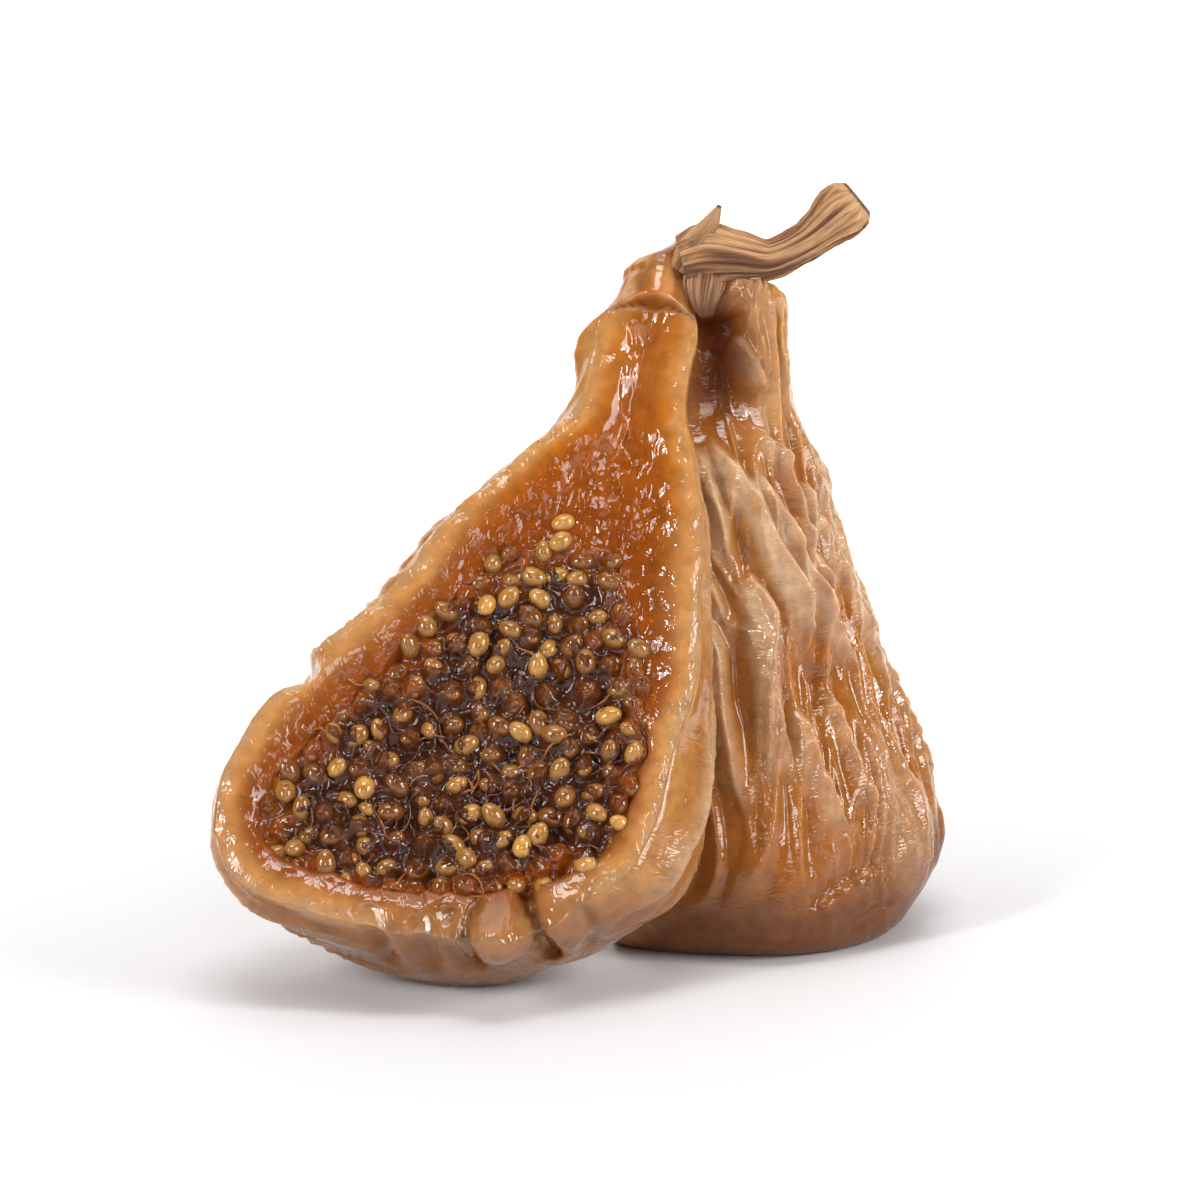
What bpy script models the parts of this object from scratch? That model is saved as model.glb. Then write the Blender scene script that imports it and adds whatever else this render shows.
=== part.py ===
"""A dried fig, cut lengthwise from its eye up to its neck.

The two halves still hang together at the woody stem and stand on their eye ends. The front half leans back and
shows its cut face, and the back half shows its folded skin.

Sizes are in millimetres and become metres where a mesh is made. +Z is up, and the front half's cut face looks
towards -Y. The origin is on the surface that the fig stands on, under the middle of its outline.
"""

import itertools
import math

import bmesh
import bpy
import numpy as np
from mathutils import Vector

MM = 0.001
GAP = 0.35

FLESH_COLOUR = (0.50, 0.24, 0.07)
PULP_COLOUR = (0.17, 0.07, 0.03)
STEM_COLOUR = (0.42, 0.27, 0.15)

# Where the middle of the outline lies in the sizes below, which are laid out from under the stem.
OUTLINE_MIDDLE = (0.9, 9.2, 0.5)

# Each row is one station of a half, from its neck to its eye: the left edge of the cut (across, up),
# the right edge (across, up), how far the skin goes back behind them, how high its furthest point is, and how
# far it swells out past the left edge and past the right edge.
FRONT_STATIONS = (
    (8.8, 54.6, 8.8, 54.6, 0.0, 54.6, 0.0, 0.0),
    (4.0, 52.8, 8.4, 52.0, 2.6, 52.4, 0.2, 0.0),
    (2.2, 49.8, 8.8, 48.9, 4.0, 49.3, 0.6, 0.0),
    (0.8, 46.8, 9.2, 46.2, 5.0, 46.3, 1.5, 0.2),
    (-0.5, 41.4, 8.2, 41.2, 6.6, 41.2, 1.0, 0.3),
    (-4.9, 37.2, 8.4, 37.2, 8.6, 37.2, 1.2, 0.3),
    (-10.0, 32.2, 8.7, 32.2, 10.8, 32.2, 0.9, 0.3),
    (-14.4, 26.5, 9.0, 25.9, 13.2, 25.9, 0.8, 0.4),
    (-20.8, 21.1, 9.0, 19.9, 15.0, 20.2, 0.8, 0.6),
    (-24.6, 14.9, 7.2, 14.4, 16.0, 14.4, 0.8, 2.8),
    (-25.9, 8.9, 5.6, 8.9, 16.4, 8.8, 0.4, 4.0),
    (-23.6, 4.6, 2.8, 4.8, 15.2, 4.4, 0.0, 4.4),
    (-17.8, 2.4, -0.7, 2.8, 13.0, 1.2, -0.4, 3.0),
    (-12.2, 1.3, -2.6, 1.6, 8.8, -0.1, 0.0, 1.2),
    (-6.6, 1.1, -6.6, 1.1, 0.0, 1.1, 0.0, 0.0),
)
BACK_STATIONS = (
    (0.8, 49.4, 0.8, 49.4, 6.0, 49.4, 0.0, 0.0),
    (-2.8, 47.2, 3.0, 47.2, 8.2, 47.6, 0.2, 0.2),
    (-4.0, 42.6, 4.0, 42.6, 8.1, 42.8, 0.5, 0.3),
    (-5.2, 38.6, 4.8, 38.6, 8.5, 38.6, 0.6, 0.3),
    (-7.6, 34.6, 6.4, 34.6, 9.7, 34.6, 0.8, 0.4),
    (-10.2, 29.8, 8.2, 29.8, 10.3, 29.8, 1.0, 0.5),
    (-12.4, 24.8, 9.8, 24.8, 11.9, 24.8, 1.2, 0.6),
    (-14.4, 19.6, 11.2, 19.6, 13.2, 19.6, 1.4, 0.8),
    (-16.0, 14.0, 12.8, 14.0, 15.4, 13.8, 1.6, 1.2),
    (-16.4, 8.6, 14.4, 8.6, 17.4, 8.4, 1.8, 1.6),
    (-14.6, 4.4, 14.4, 4.4, 17.4, 3.6, 1.6, 1.8),
    (-9.0, 0.9, 10.6, 1.4, 13.0, -0.9, 1.0, 1.6),
    (0.0, 0.2, 0.0, 0.2, 0.0, 0.2, 0.0, 0.0),
)
# Distance from the middle of the seeds to the wall around them, at even angles from the right-hand side.
FRONT_PULP_REACH = (
    12.3, 13.1, 15.0, 18.6, 16.8, 12.6, 10.8, 10.0, 10.9,
    13.9, 17.0, 13.8, 11.3, 10.2, 10.0, 10.7, 11.6, 11.8,
)
BACK_PULP_REACH = (10.4, 11.6, 14.6, 17.0, 15.0, 12.2, 12.0, 11.6, 10.4, 9.8, 9.6, 10.0)
FRONT_PULP_MIDDLE = (-7.0, 14.0)
BACK_PULP_MIDDLE = (-0.8, 15.0)

LEAN_BACK = math.radians(30)
FRONT_EYE = (0.0, -13.0, 5.4)
BACK_EYE = (10.0, 16.4, 0.2)
BACK_NECK = (7.0, 13.0, 49.0)
BACK_TURN = math.radians(9)
FRONT_CUT_FROM = 0.17

SKIN_SWELL_AT = 0.4
SKIN_FULLNESS = 0.86
SKIN_LENGTH = 50.0
SKIN_SHRINK = 0.5
LUMP_HEIGHT = 0.45
LUMP_SIZE = 7.0
FACE_DIP = 0.5

# The folds that the photograph shows: height, width, then the path as (share of the length, degrees round).
BACK_FOLDS = (
    (1.1, 0.7, (0.12, 31), (0.14, 42), (0.19, 57)),
    (0.8, 0.8, (0.25, 42), (0.28, 54), (0.31, 63)),
    (1.2, 0.7, (0.26, 7), (0.29, 11), (0.33, 14), (0.36, 16), (0.42, 19)),
    (1.7, 0.8, (0.25, 13), (0.30, 24), (0.35, 33), (0.41, 40), (0.46, 47), (0.52, 51)),
    (1.3, 0.7, (0.31, 36), (0.37, 46), (0.43, 56), (0.50, 61), (0.57, 72)),
    (0.9, 0.7, (0.38, 60), (0.43, 66), (0.48, 68)),
    (0.9, 0.8, (0.33, 64), (0.40, 77), (0.47, 88), (0.54, 93)),
    (0.9, 0.6, (0.42, 8), (0.45, 12), (0.48, 15)),
    (1.7, 0.9, (0.43, 27), (0.48, 32), (0.53, 29), (0.60, 28), (0.66, 29)),
    (1.6, 0.8, (0.47, 7), (0.52, 12), (0.60, 12), (0.68, 13)),
    (1.3, 0.7, (0.59, 38), (0.65, 37), (0.72, 42)),
    (1.1, 0.7, (0.58, 55), (0.64, 53), (0.72, 54)),
    (1.0, 0.7, (0.64, 66), (0.69, 60), (0.73, 57)),
    (1.2, 3.4, (0.69, 70), (0.75, 71), (0.81, 69)),
)
# Creases and hollows in the same form, with their depth.
BACK_CREASES = (
    (2.4, 2.2, (0.11, 9), (0.17, 16), (0.24, 20)),
    (0.8, 1.6, (0.53, 46), (0.57, 49), (0.61, 50)),
    (1.1, 0.6, (0.81, 29), (0.78, 38), (0.77, 48), (0.76, 56)),
    (0.9, 0.5, (0.87, 42), (0.85, 50), (0.83, 58)),
)
FOLD_STEEP, FOLD_SHALLOW = 0.65, 1.35

# Bumps and creases in a half's own frame: reach, push, then the path. The front half has the knob and the
# lobes at its eye and a notch in its left edge. The foot of the back half's near edge curls in behind it.
FRONT_BUMPS = (
    (2.0, (0.0, -0.9, 1.8), (-6.1, 1.2, -0.6), (-5.7, 0.8, -2.0)),
    (2.1, (0.2, -0.4, 0.9), (-0.9, 2.0, -0.6), (0.6, 2.2, -2.6)),
    (0.8, (0.0, 0.5, -1.4), (-3.7, 4.4, 0.0), (-3.4, 2.6, 0.0), (-2.8, 1.1, -1.2), (-2.1, 0.5, -4.0)),
    (0.8, (0.0, 0.5, -0.9), (-8.7, 2.4, 0.0), (-8.3, 1.0, -1.4), (-7.6, 0.3, -4.2)),
    (1.3, (1.5, 0.3, 0.0), (-21.4, 20.6, -0.6), (-21.0, 20.4, 0.4)),
)
BACK_BUMPS = ((4.6, (0.0, 0.0, 6.2), (14.5, 1.0, -0.5), (8.5, 0.6, -0.5)),)

PULP_DEPTH = 10.0
PULP_EDGE = 1.65
ROOM_TOP = 1.5
PULP_LEVEL = 1.0
PULP_RELIEF = 0.45
PULP_CELL = 2.2
PULP_SIDES, PULP_RINGS = 36, 5

SEED_LENGTH = 1.9
SEED_WIDTH = 1.5
FRONT_SEED_SPACING = 1.75
BACK_SEED_SPACING = 2.5

STATIONS = 28
SKIN_POINTS = 54
FACE_POINTS = 11

# Rings of the woody stem: middle, half height, half thickness. The rod runs from the neck to the foot that
# broke off the branch, the root runs down between the halves, and a splinter stands up where the knife met
# the stem.
ROD = (
    (7.5, 12.3, 50.6, 1.9, 1.8),
    (9.3, 12.2, 51.1, 2.4, 2.1),
    (11.4, 12.0, 51.1, 1.9, 1.9),
    (13.6, 11.6, 50.9, 1.5, 1.5),
    (15.0, 11.3, 51.4, 1.4, 1.4),
    (16.5, 11.0, 52.3, 1.4, 1.45),
    (17.6, 10.8, 53.2, 1.55, 1.6),
    (18.8, 10.5, 54.3, 1.95, 2.0),
    (19.6, 10.3, 55.0, 1.9, 1.95),
    (20.2, 10.2, 55.5, 1.3, 1.35),
)
ROOT = (
    (9.2, 12.0, 50.6, 1.9, 2.4),
    (9.1, 11.6, 49.2, 1.7, 2.1),
    (9.1, 11.3, 47.9, 1.2, 1.5),
    (9.3, 11.1, 46.8, 0.5, 0.6),
)
SPLINTER = (
    (7.4, 11.9, 50.0, 1.0, 1.0),
    (8.3, 11.7, 51.6, 1.3, 1.3),
    (9.4, 11.6, 53.3, 0.8, 1.0),
    (10.2, 11.5, 54.9, 0.15, 0.2),
)
STEM_SIDES = 18
STEM_RIBS = 9
STEM_RIB_HEIGHT = 0.1


def clear_scene():
    for item in list(bpy.data.objects):
        bpy.data.objects.remove(item)


def make_material(name, colour, roughness):
    material = bpy.data.materials.new(name)
    material.use_nodes = True
    shader = material.node_tree.nodes["Principled BSDF"]
    shader.inputs["Base Color"].default_value = (*colour, 1.0)
    shader.inputs["Roughness"].default_value = roughness
    shader.inputs["Metallic"].default_value = 0.0
    return material


def eased(low, high, value):
    """0 below low, 1 above high, and a smooth rise between them."""
    share = np.clip((value - low) / (high - low), 0, 1)
    return share * share * (3 - 2 * share)


def spline(before, start, end, after, t):
    """The smooth curve from start to end that also heeds the points around them."""
    bend = 2 * before - 5 * start + 4 * end - after
    return start + 0.5 * t * (end - before + t * (bend + t * (3 * (start - end) + after - before)))


def smooth_through(rows, share):
    """The smooth curve through evenly spaced rows, read at shares from 0 to 1."""
    rows = np.asarray(rows, float)
    last = len(rows) - 1
    padded = np.vstack([2 * rows[0] - rows[1], rows, 2 * rows[-1] - rows[-2]])
    place = np.clip(np.asarray(share, float) * last, 0, last - 1e-9)
    index = place.astype(int)
    return spline(*(padded[index + k] for k in range(4)), (place - index)[:, None])


def smooth_around(values, turn):
    """The smooth closed curve through evenly spaced values, read at shares of a full turn."""
    values = np.asarray(values)
    place = np.asarray(turn) * len(values)
    index = np.floor(place).astype(int)
    return spline(*(values[(index + k) % len(values)] for k in (-1, 0, 1, 2)), place - index)


def make_noise(seed):
    """A smooth random field of about -0.7 to 0.7, with features one unit across."""
    draw = np.random.default_rng(seed)
    order = draw.permutation(256)
    slopes = draw.normal(size=(256, 3))
    slopes /= np.linalg.norm(slopes, axis=1)[:, None]

    def noise(points):
        cell = np.floor(points).astype(int)
        inside = points - cell
        fade = inside * inside * inside * (inside * (inside * 6 - 15) + 10)
        total = np.zeros(points.shape[:-1])
        for corner in itertools.product((0, 1), repeat=3):
            c = (cell + corner) & 255
            slope = slopes[order[(order[(order[c[..., 0]] + c[..., 1]) & 255] + c[..., 2]) & 255]]
            weight = np.prod(np.where(corner, fade, 1 - fade), axis=-1)
            total += weight * np.sum(slope * (inside - corner), axis=-1)
        return total

    return noise


def swell(angle):
    """How far the skin swells out behind the edge of the cut: 0 at the edge, then up to 1, then less."""
    return angle / SKIN_SWELL_AT * np.exp(1 - angle / SKIN_SWELL_AT)


def fold_height(share, phi, reach, height, width, *path):
    """The height of one fold, which is steeper on the side away from the near edge of the cut."""
    total = np.zeros(np.broadcast(share, phi).shape)
    for k, (start, end) in enumerate(zip(path, path[1:])):
        along = (end[0] - start[0]) * SKIN_LENGTH
        across = math.radians(end[1] - start[1]) * reach
        x = (share - start[0]) * SKIN_LENGTH
        y = (phi - math.radians(start[1])) * reach
        t = np.clip((x * along + y * across) / (along**2 + across**2), 0, 1)
        side = (y - t * across) * along - (x - t * along) * across
        room = width * np.where(side * np.sign(along) > 0, FOLD_STEEP, FOLD_SHALLOW)
        away = np.hypot(x - t * along, y - t * across)
        done = (k + t) / (len(path) - 1)
        taper = np.minimum(1, 5 * np.minimum(done, 1 - done) + 0.15)
        total = np.maximum(total, height * taper * np.exp(-((away / room) ** 2)))
    return total


def joined_height(share, phi, reach, folds):
    """The height of all folds together, rounded where they meet."""
    total = 0.0
    for fold in folds:
        total = total + fold_height(share, phi, reach, *fold) ** 3
    return total ** (1 / 3)


def pushed(points, bumps):
    """The points moved by each bump, most on its path and less around it."""
    for reach, push, *path in bumps:
        nearest = np.full(points.shape[:-1], np.inf)
        for start, end in zip(path, path[1:]):
            line = np.subtract(end, start)
            t = np.clip((points - start) @ line / (line @ line), 0, 1)
            nearest = np.minimum(nearest, np.linalg.norm(points - start - t[..., None] * line, axis=-1))
        points = points + np.exp(-((nearest / reach) ** 2))[..., None] * push
    return points


def drawn_folds(count, seed, heights, angles, span):
    """Long folds by a rule: side by side round the skin, each wandering from the neck towards the eye."""
    draw = np.random.default_rng(seed)
    folds = []
    for k in range(count):
        middle = angles[0] + (angles[1] - angles[0]) * (k + 0.5 + draw.uniform(-0.3, 0.3)) / count
        start, end = span[0] + draw.uniform(0, 0.16), span[1] - draw.uniform(0, 0.2)
        shares = np.linspace(start, end, 5)
        path = [(s, middle + draw.uniform(-3.5, 3.5)) for s in shares]
        folds.append((draw.uniform(*heights), draw.uniform(0.8, 1.3), *path))
    return folds


class Half:
    """One half of the fig, in its own frame: across the cut face, up it, and out of it."""

    def __init__(self, stations, folds, creases, bumps, cut_from, pulp_reach, pulp_middle, place, seed):
        self.stations, self.folds, self.creases = stations, folds, creases
        self.bumps, self.cut_from = bumps, cut_from
        self.pulp_reach, self.pulp_middle = pulp_reach, pulp_middle
        self.origin, self.up, self.out = (np.array(v, float) for v in place)
        self.across = np.cross(self.up, self.out)
        self.seed = seed
        self.noise = make_noise(seed)

    def to_world(self, local):
        return self.origin + local @ np.array([self.across, self.up, self.out]) - OUTLINE_MIDDLE

    def skin(self, share, phi):
        """Points of the outer skin: rows run from neck to eye, columns from the right edge to the left."""
        row = smooth_through(self.stations, share)
        left, right = row[:, 0:2], row[:, 2:4]
        middle, half = (left + right) / 2, (right - left) / 2
        sideways, backwards = np.cos(phi), np.sin(phi) ** SKIN_FULLNESS
        points = np.empty((len(share), len(phi), 3))
        points[..., 0] = middle[:, 0, None] + half[:, 0, None] * sideways
        points[..., 0] += row[:, 7, None] * swell(phi) - row[:, 6, None] * swell(math.pi - phi)
        points[..., 1] = middle[:, 1, None] + half[:, 1, None] * sideways
        points[..., 1] += (row[:, 5] - middle[:, 1])[:, None] * backwards
        points[..., 2] = -row[:, 4, None] * backwards
        reach = ((row[:, 2] - row[:, 0]) / 2 + row[:, 4])[:, None] / 2
        relief = self.skin_relief(points, share[:, None], phi[None, :], reach)
        return points + skin_normals(points) * relief[..., None]

    def skin_relief(self, points, share, phi, reach):
        folds = joined_height(share, phi, reach, self.folds)
        creases = joined_height(share, phi, reach, self.creases)
        lumps = LUMP_HEIGHT * self.noise(points / LUMP_SIZE) * (0.3 + 0.7 * np.sin(phi))
        ends = eased(0.0, 0.08, share) * (1 - eased(0.9, 1.0, share))
        return (folds - creases + lumps - SKIN_SHRINK) * ends

    def pulp_share(self, across, up):
        """How far out a point of the cut face is, as a share of the way to the edge of the pulp."""
        dx, dy = across - self.pulp_middle[0], up - self.pulp_middle[1]
        turn = (np.arctan2(dy, dx) / (2 * math.pi)) % 1.0
        return np.hypot(dx, dy) / smooth_around(self.pulp_reach, turn)

    def face(self, share, left, right, part):
        """Points of the cut face, from the left edge to the right. Above the cut the neck stays round."""
        points = left[:, None] + (right - left)[:, None] * part[None, :, None]
        width = np.linalg.norm(right - left, axis=1)[:, None]
        edge = width * np.minimum(part, 1 - part)[None, :]
        dip = -FACE_DIP * (1 - eased(0.95, 1.4, self.pulp_share(points[..., 0], points[..., 1])))
        whole = 1 - eased(self.cut_from, self.cut_from + 0.03, share)[:, None]
        round_neck = 0.35 * width * np.sin(math.pi * part)[None, :]
        points[..., 2] += whole * round_neck + (1 - whole) * dip * eased(0, 1.0, edge)
        return points

    def rings(self, stations, skin_points, face_points):
        """Closed rings round the half, from its neck to its eye, and the point at each end."""
        share = np.linspace(0, 1, stations + 2)[1:-1]
        skin = self.skin(share, np.linspace(0, math.pi, skin_points))
        part = np.linspace(0, 1, face_points + 2)[1:-1]
        face = self.face(share, skin[:, -1], skin[:, 0], part)
        ends = smooth_through(self.stations, np.array([0.0, 1.0]))
        poles = np.stack([ends[:, 0], ends[:, 1], 0 * ends[:, 0]], 1)
        rings = pushed(np.concatenate([skin, face], axis=1), self.bumps)
        return self.to_world(rings), self.to_world(pushed(poles, self.bumps))


def skin_normals(points):
    down, round_ = np.gradient(points, axis=0), np.gradient(points, axis=1)
    normal = np.cross(down, round_)
    return normal / np.maximum(np.linalg.norm(normal, axis=-1), 1e-9)[..., None]


def on_the_surface(points):
    """Flattens what would reach below the surface that the fig stands on."""
    points = points.copy()
    points[..., 2] = np.maximum(points[..., 2], 0)
    return points


def loft(name, rings, poles, material):
    """A closed body through rings of points one after another, which ends in a point on both sides."""
    bm = bmesh.new()
    rows = [[bm.verts.new(p * MM) for p in ring] for ring in rings]
    for upper, lower in zip(rows, rows[1:]):
        for k in range(len(upper)):
            after = (k + 1) % len(upper)
            bm.faces.new((upper[k], upper[after], lower[after], lower[k]))
    for row, pole in ((rows[0], poles[0]), (rows[-1], poles[1])):
        tip = bm.verts.new(pole * MM)
        for k in range(len(row)):
            bm.faces.new((row[k], row[(k + 1) % len(row)], tip))
    bmesh.ops.recalc_face_normals(bm, faces=bm.faces)
    mesh = bpy.data.meshes.new(name)
    bm.to_mesh(mesh)
    bm.free()
    mesh.materials.append(material)
    mesh.shade_smooth()
    item = bpy.data.objects.new(name, mesh)
    bpy.context.collection.objects.link(item)
    return item


def combine(item, others, operation):
    """Joins the others to the item or cuts them out of it, and removes them."""
    group = bpy.data.collections.new(item.name + "_others")
    bpy.context.scene.collection.children.link(group)
    for other in others:
        bpy.context.collection.objects.unlink(other)
        group.objects.link(other)
    step = item.modifiers.new(operation.lower(), "BOOLEAN")
    step.operation = operation
    step.operand_type = "COLLECTION"
    step.collection = group
    bpy.context.view_layer.objects.active = item
    bpy.ops.object.modifier_apply(modifier=step.name)
    for other in others:
        bpy.data.objects.remove(other)
    bpy.data.collections.remove(group)


def pulp_edge(half, inset):
    angle = np.arange(PULP_SIDES) * 2 * math.pi / PULP_SIDES
    edge = smooth_around(half.pulp_reach, angle / (2 * math.pi)) - inset
    return np.stack([edge * np.cos(angle), edge * np.sin(angle)], 1)


def pulp_level(half, across, up):
    """Height of the open side of the pulp, with the hollows and mounds that it dried to."""
    flat = np.stack([across, up, 0 * across], -1) / PULP_CELL
    return -PULP_LEVEL + PULP_RELIEF * half.noise(flat + 40.0)


def pulp_rings(half, inset, depth, edge_level, top):
    """Rings over the open side of the pulp from its middle to its edge, then back under it."""
    edge = pulp_edge(half, inset)
    rings = []
    shares = np.linspace(0, 1, PULP_RINGS + 1)[1:]
    for share in shares:
        place = half.pulp_middle + share * edge
        rings.append(np.column_stack([place, top(place)]))
    for share in (1.0, *shares[-2::-1]):
        place = half.pulp_middle + share * edge
        under = np.full(PULP_SIDES, -edge_level - depth * math.sqrt(1 - share**2))
        rings.append(np.column_stack([place, under]))
    middle = np.array([half.pulp_middle])
    poles = np.array([[*half.pulp_middle, top(middle)[0]], [*half.pulp_middle, -edge_level - depth]])
    return [half.to_world(ring) for ring in rings], half.to_world(poles)


def make_pulp_cutter(half, material):
    """The room that the pulp needs in the flesh, with the gap around it."""
    rings = pulp_rings(half, 0.0, PULP_DEPTH, PULP_EDGE + GAP, lambda place: np.full(len(place), ROOM_TOP))
    return loft("pulp_room", *rings, material)


def seed_places(half, spacing, seed):
    """Places for the seeds: drawn one by one, and kept where no earlier seed is too near."""
    draw = np.random.default_rng(seed)
    kept = np.empty((0, 2))
    for _ in range(4000):
        place = draw.uniform((-18, -12), (14, 19)) + half.pulp_middle
        room = np.linalg.norm(kept - place, axis=1).min(initial=9.0)
        if room > spacing and half.pulp_share(*place) < 0.88:
            kept = np.vstack([kept, place])
    return kept


def make_seed(place, along, draw, material):
    """One seed as an egg of few sides, half sunk in the pulp."""
    bm = bmesh.new()
    bmesh.ops.create_icosphere(bm, subdivisions=1, radius=0.5)
    mesh = bpy.data.meshes.new("seed")
    bm.to_mesh(mesh)
    bm.free()
    mesh.materials.append(material)
    seed = bpy.data.objects.new("seed", mesh)
    bpy.context.collection.objects.link(seed)
    size = draw.uniform(0.88, 1.12)
    seed.scale = Vector((SEED_WIDTH, SEED_WIDTH, SEED_LENGTH)) * size * MM
    seed.location = Vector(place) * MM
    seed.rotation_mode = "QUATERNION"
    seed.rotation_quaternion = Vector(along).to_track_quat("Z", "X")
    return seed


def make_pulp(name, half, spacing, material):
    """The dark pulp that fills a half, with its seeds standing half out of it, as one body."""
    rings = pulp_rings(half, GAP, PULP_DEPTH - GAP, PULP_EDGE, lambda place: pulp_level(half, *place.T))
    pulp = loft(name, *rings, material)
    draw = np.random.default_rng(half.seed + 5)
    seeds = []
    for across, up in seed_places(half, spacing, half.seed + 6):
        level = pulp_level(half, np.array([across]), np.array([up]))[0] + draw.uniform(0.0, 0.3)
        place = half.to_world(np.array([across, up, level]))
        lie = draw.uniform(0, math.pi)
        along = half.across * math.cos(lie) + half.up * math.sin(lie) + 0.4 * half.out
        seeds.append(make_seed(place, along, draw, material))
    combine(pulp, seeds, "UNION")
    return pulp


def stem_part(name, stations, rings, grow, material):
    """One ribbed rod of the stem, made larger all round by grow."""
    row = smooth_through(stations, np.linspace(0, 1, rings))
    middle = row[:, :3] - OUTLINE_MIDDLE
    along = np.gradient(middle, axis=0)
    along /= np.linalg.norm(along, axis=1)[:, None]
    middle[0] -= along[0] * grow
    middle[-1] += along[-1] * grow
    depth = np.array([0.0, 1.0, 0.0])
    rise = np.cross(along, depth)
    rise /= np.linalg.norm(rise, axis=1)[:, None]
    angle = np.arange(STEM_SIDES) * 2 * math.pi / STEM_SIDES
    rib = 1 + STEM_RIB_HEIGHT * np.cos(STEM_RIBS * angle)
    rises = (row[:, 3, None] + grow) * np.cos(angle) * rib
    depths = (row[:, 4, None] + grow) * np.sin(angle) * rib
    ring = middle[:, None] + rise[:, None] * rises[..., None] + depth * depths[..., None]
    return loft(name, ring, middle[[0, -1]], material)


def make_stem(name, grow, material):
    rod = stem_part(name, ROD, 15, grow, material)
    root = stem_part("root", ROOT, 7, grow, material)
    splinter = stem_part("splinter", SPLINTER, 5, grow, material)
    combine(rod, [root, splinter], "UNION")
    return rod


def make_flesh(front, back, material):
    """Both halves as one body, still joined at the neck, with room in it for the pulp and the stem."""
    halves = []
    for name, half in (("fig_flesh", front), ("back", back)):
        rings, poles = half.rings(STATIONS, SKIN_POINTS, FACE_POINTS)
        item = loft(name, on_the_surface(rings), on_the_surface(poles), material)
        halves.append(item)
    combine(halves[0], [halves[1]], "UNION")
    rooms = [make_pulp_cutter(half, material) for half in (front, back)]
    combine(halves[0], [*rooms, make_stem("stem_room", GAP, material)], "DIFFERENCE")
    return halves[0]


def front_half():
    up = (0.0, math.sin(LEAN_BACK), math.cos(LEAN_BACK))
    out = (0.0, -math.cos(LEAN_BACK), math.sin(LEAN_BACK))
    folds = drawn_folds(19, 11, (0.4, 0.9), (8, 172), (0.24, 0.98))
    place = (FRONT_EYE, up, out)
    pulp = (FRONT_PULP_REACH, FRONT_PULP_MIDDLE)
    return Half(FRONT_STATIONS, folds, (), FRONT_BUMPS, FRONT_CUT_FROM, *pulp, place, 3)


def back_half():
    up = np.array(BACK_NECK) - BACK_EYE
    up /= np.linalg.norm(up)
    out = np.array([-math.cos(BACK_TURN), math.sin(BACK_TURN), 0.0])
    out -= up * (out @ up)
    out /= np.linalg.norm(out)
    folds = [*BACK_FOLDS, *drawn_folds(11, 23, (0.6, 1.1), (90, 176), (0.2, 0.92))]
    place = (BACK_EYE, up, out)
    pulp = (BACK_PULP_REACH, BACK_PULP_MIDDLE)
    return Half(BACK_STATIONS, folds, BACK_CREASES, BACK_BUMPS, -1.0, *pulp, place, 8)


def main():
    clear_scene()
    front, back = front_half(), back_half()
    make_flesh(front, back, make_material("fig_flesh", FLESH_COLOUR, 0.3))
    make_pulp("front_pulp", front, FRONT_SEED_SPACING, make_material("front_pulp", PULP_COLOUR, 0.22))
    make_pulp("back_pulp", back, BACK_SEED_SPACING, make_material("back_pulp", PULP_COLOUR, 0.22))
    make_stem("stem", 0.0, make_material("stem", STEM_COLOUR, 0.75))


main()
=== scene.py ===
"""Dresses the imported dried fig: sticky flesh, seeded pulp, a woody stem, soft light and a white floor.

Sizes are in millimetres and become metres where a mesh is made. +Z is up, and the front half's cut face looks
towards -Y. Each half has a frame of its own: across its cut face, up it, and out of it.
"""

import itertools
import math

import bpy
import numpy as np
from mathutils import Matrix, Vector
from mathutils.kdtree import KDTree


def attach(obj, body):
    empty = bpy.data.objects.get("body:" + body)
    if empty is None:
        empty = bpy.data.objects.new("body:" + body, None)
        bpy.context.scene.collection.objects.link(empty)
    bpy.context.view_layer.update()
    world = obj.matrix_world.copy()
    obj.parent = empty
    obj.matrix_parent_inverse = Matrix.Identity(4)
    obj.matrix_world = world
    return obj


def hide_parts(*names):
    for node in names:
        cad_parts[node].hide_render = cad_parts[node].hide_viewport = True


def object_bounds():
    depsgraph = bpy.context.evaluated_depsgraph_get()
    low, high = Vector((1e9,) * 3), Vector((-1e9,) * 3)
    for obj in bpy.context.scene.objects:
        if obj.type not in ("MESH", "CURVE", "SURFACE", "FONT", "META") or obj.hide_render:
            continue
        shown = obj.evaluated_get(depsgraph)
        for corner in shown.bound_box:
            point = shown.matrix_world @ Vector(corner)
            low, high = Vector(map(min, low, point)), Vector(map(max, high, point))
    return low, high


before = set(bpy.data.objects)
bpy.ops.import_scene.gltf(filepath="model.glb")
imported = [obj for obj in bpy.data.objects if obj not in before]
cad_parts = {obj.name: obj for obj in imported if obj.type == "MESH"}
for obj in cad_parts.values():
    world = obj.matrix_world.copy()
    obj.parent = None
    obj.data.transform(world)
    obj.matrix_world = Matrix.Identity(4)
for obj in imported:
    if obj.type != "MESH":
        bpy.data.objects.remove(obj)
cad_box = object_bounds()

MM = 0.001

# Where the middle of the outline lies in the sizes below, which are laid out from under the stem.
OUTLINE_MIDDLE = (0.9, 9.2, 0.5)

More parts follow.
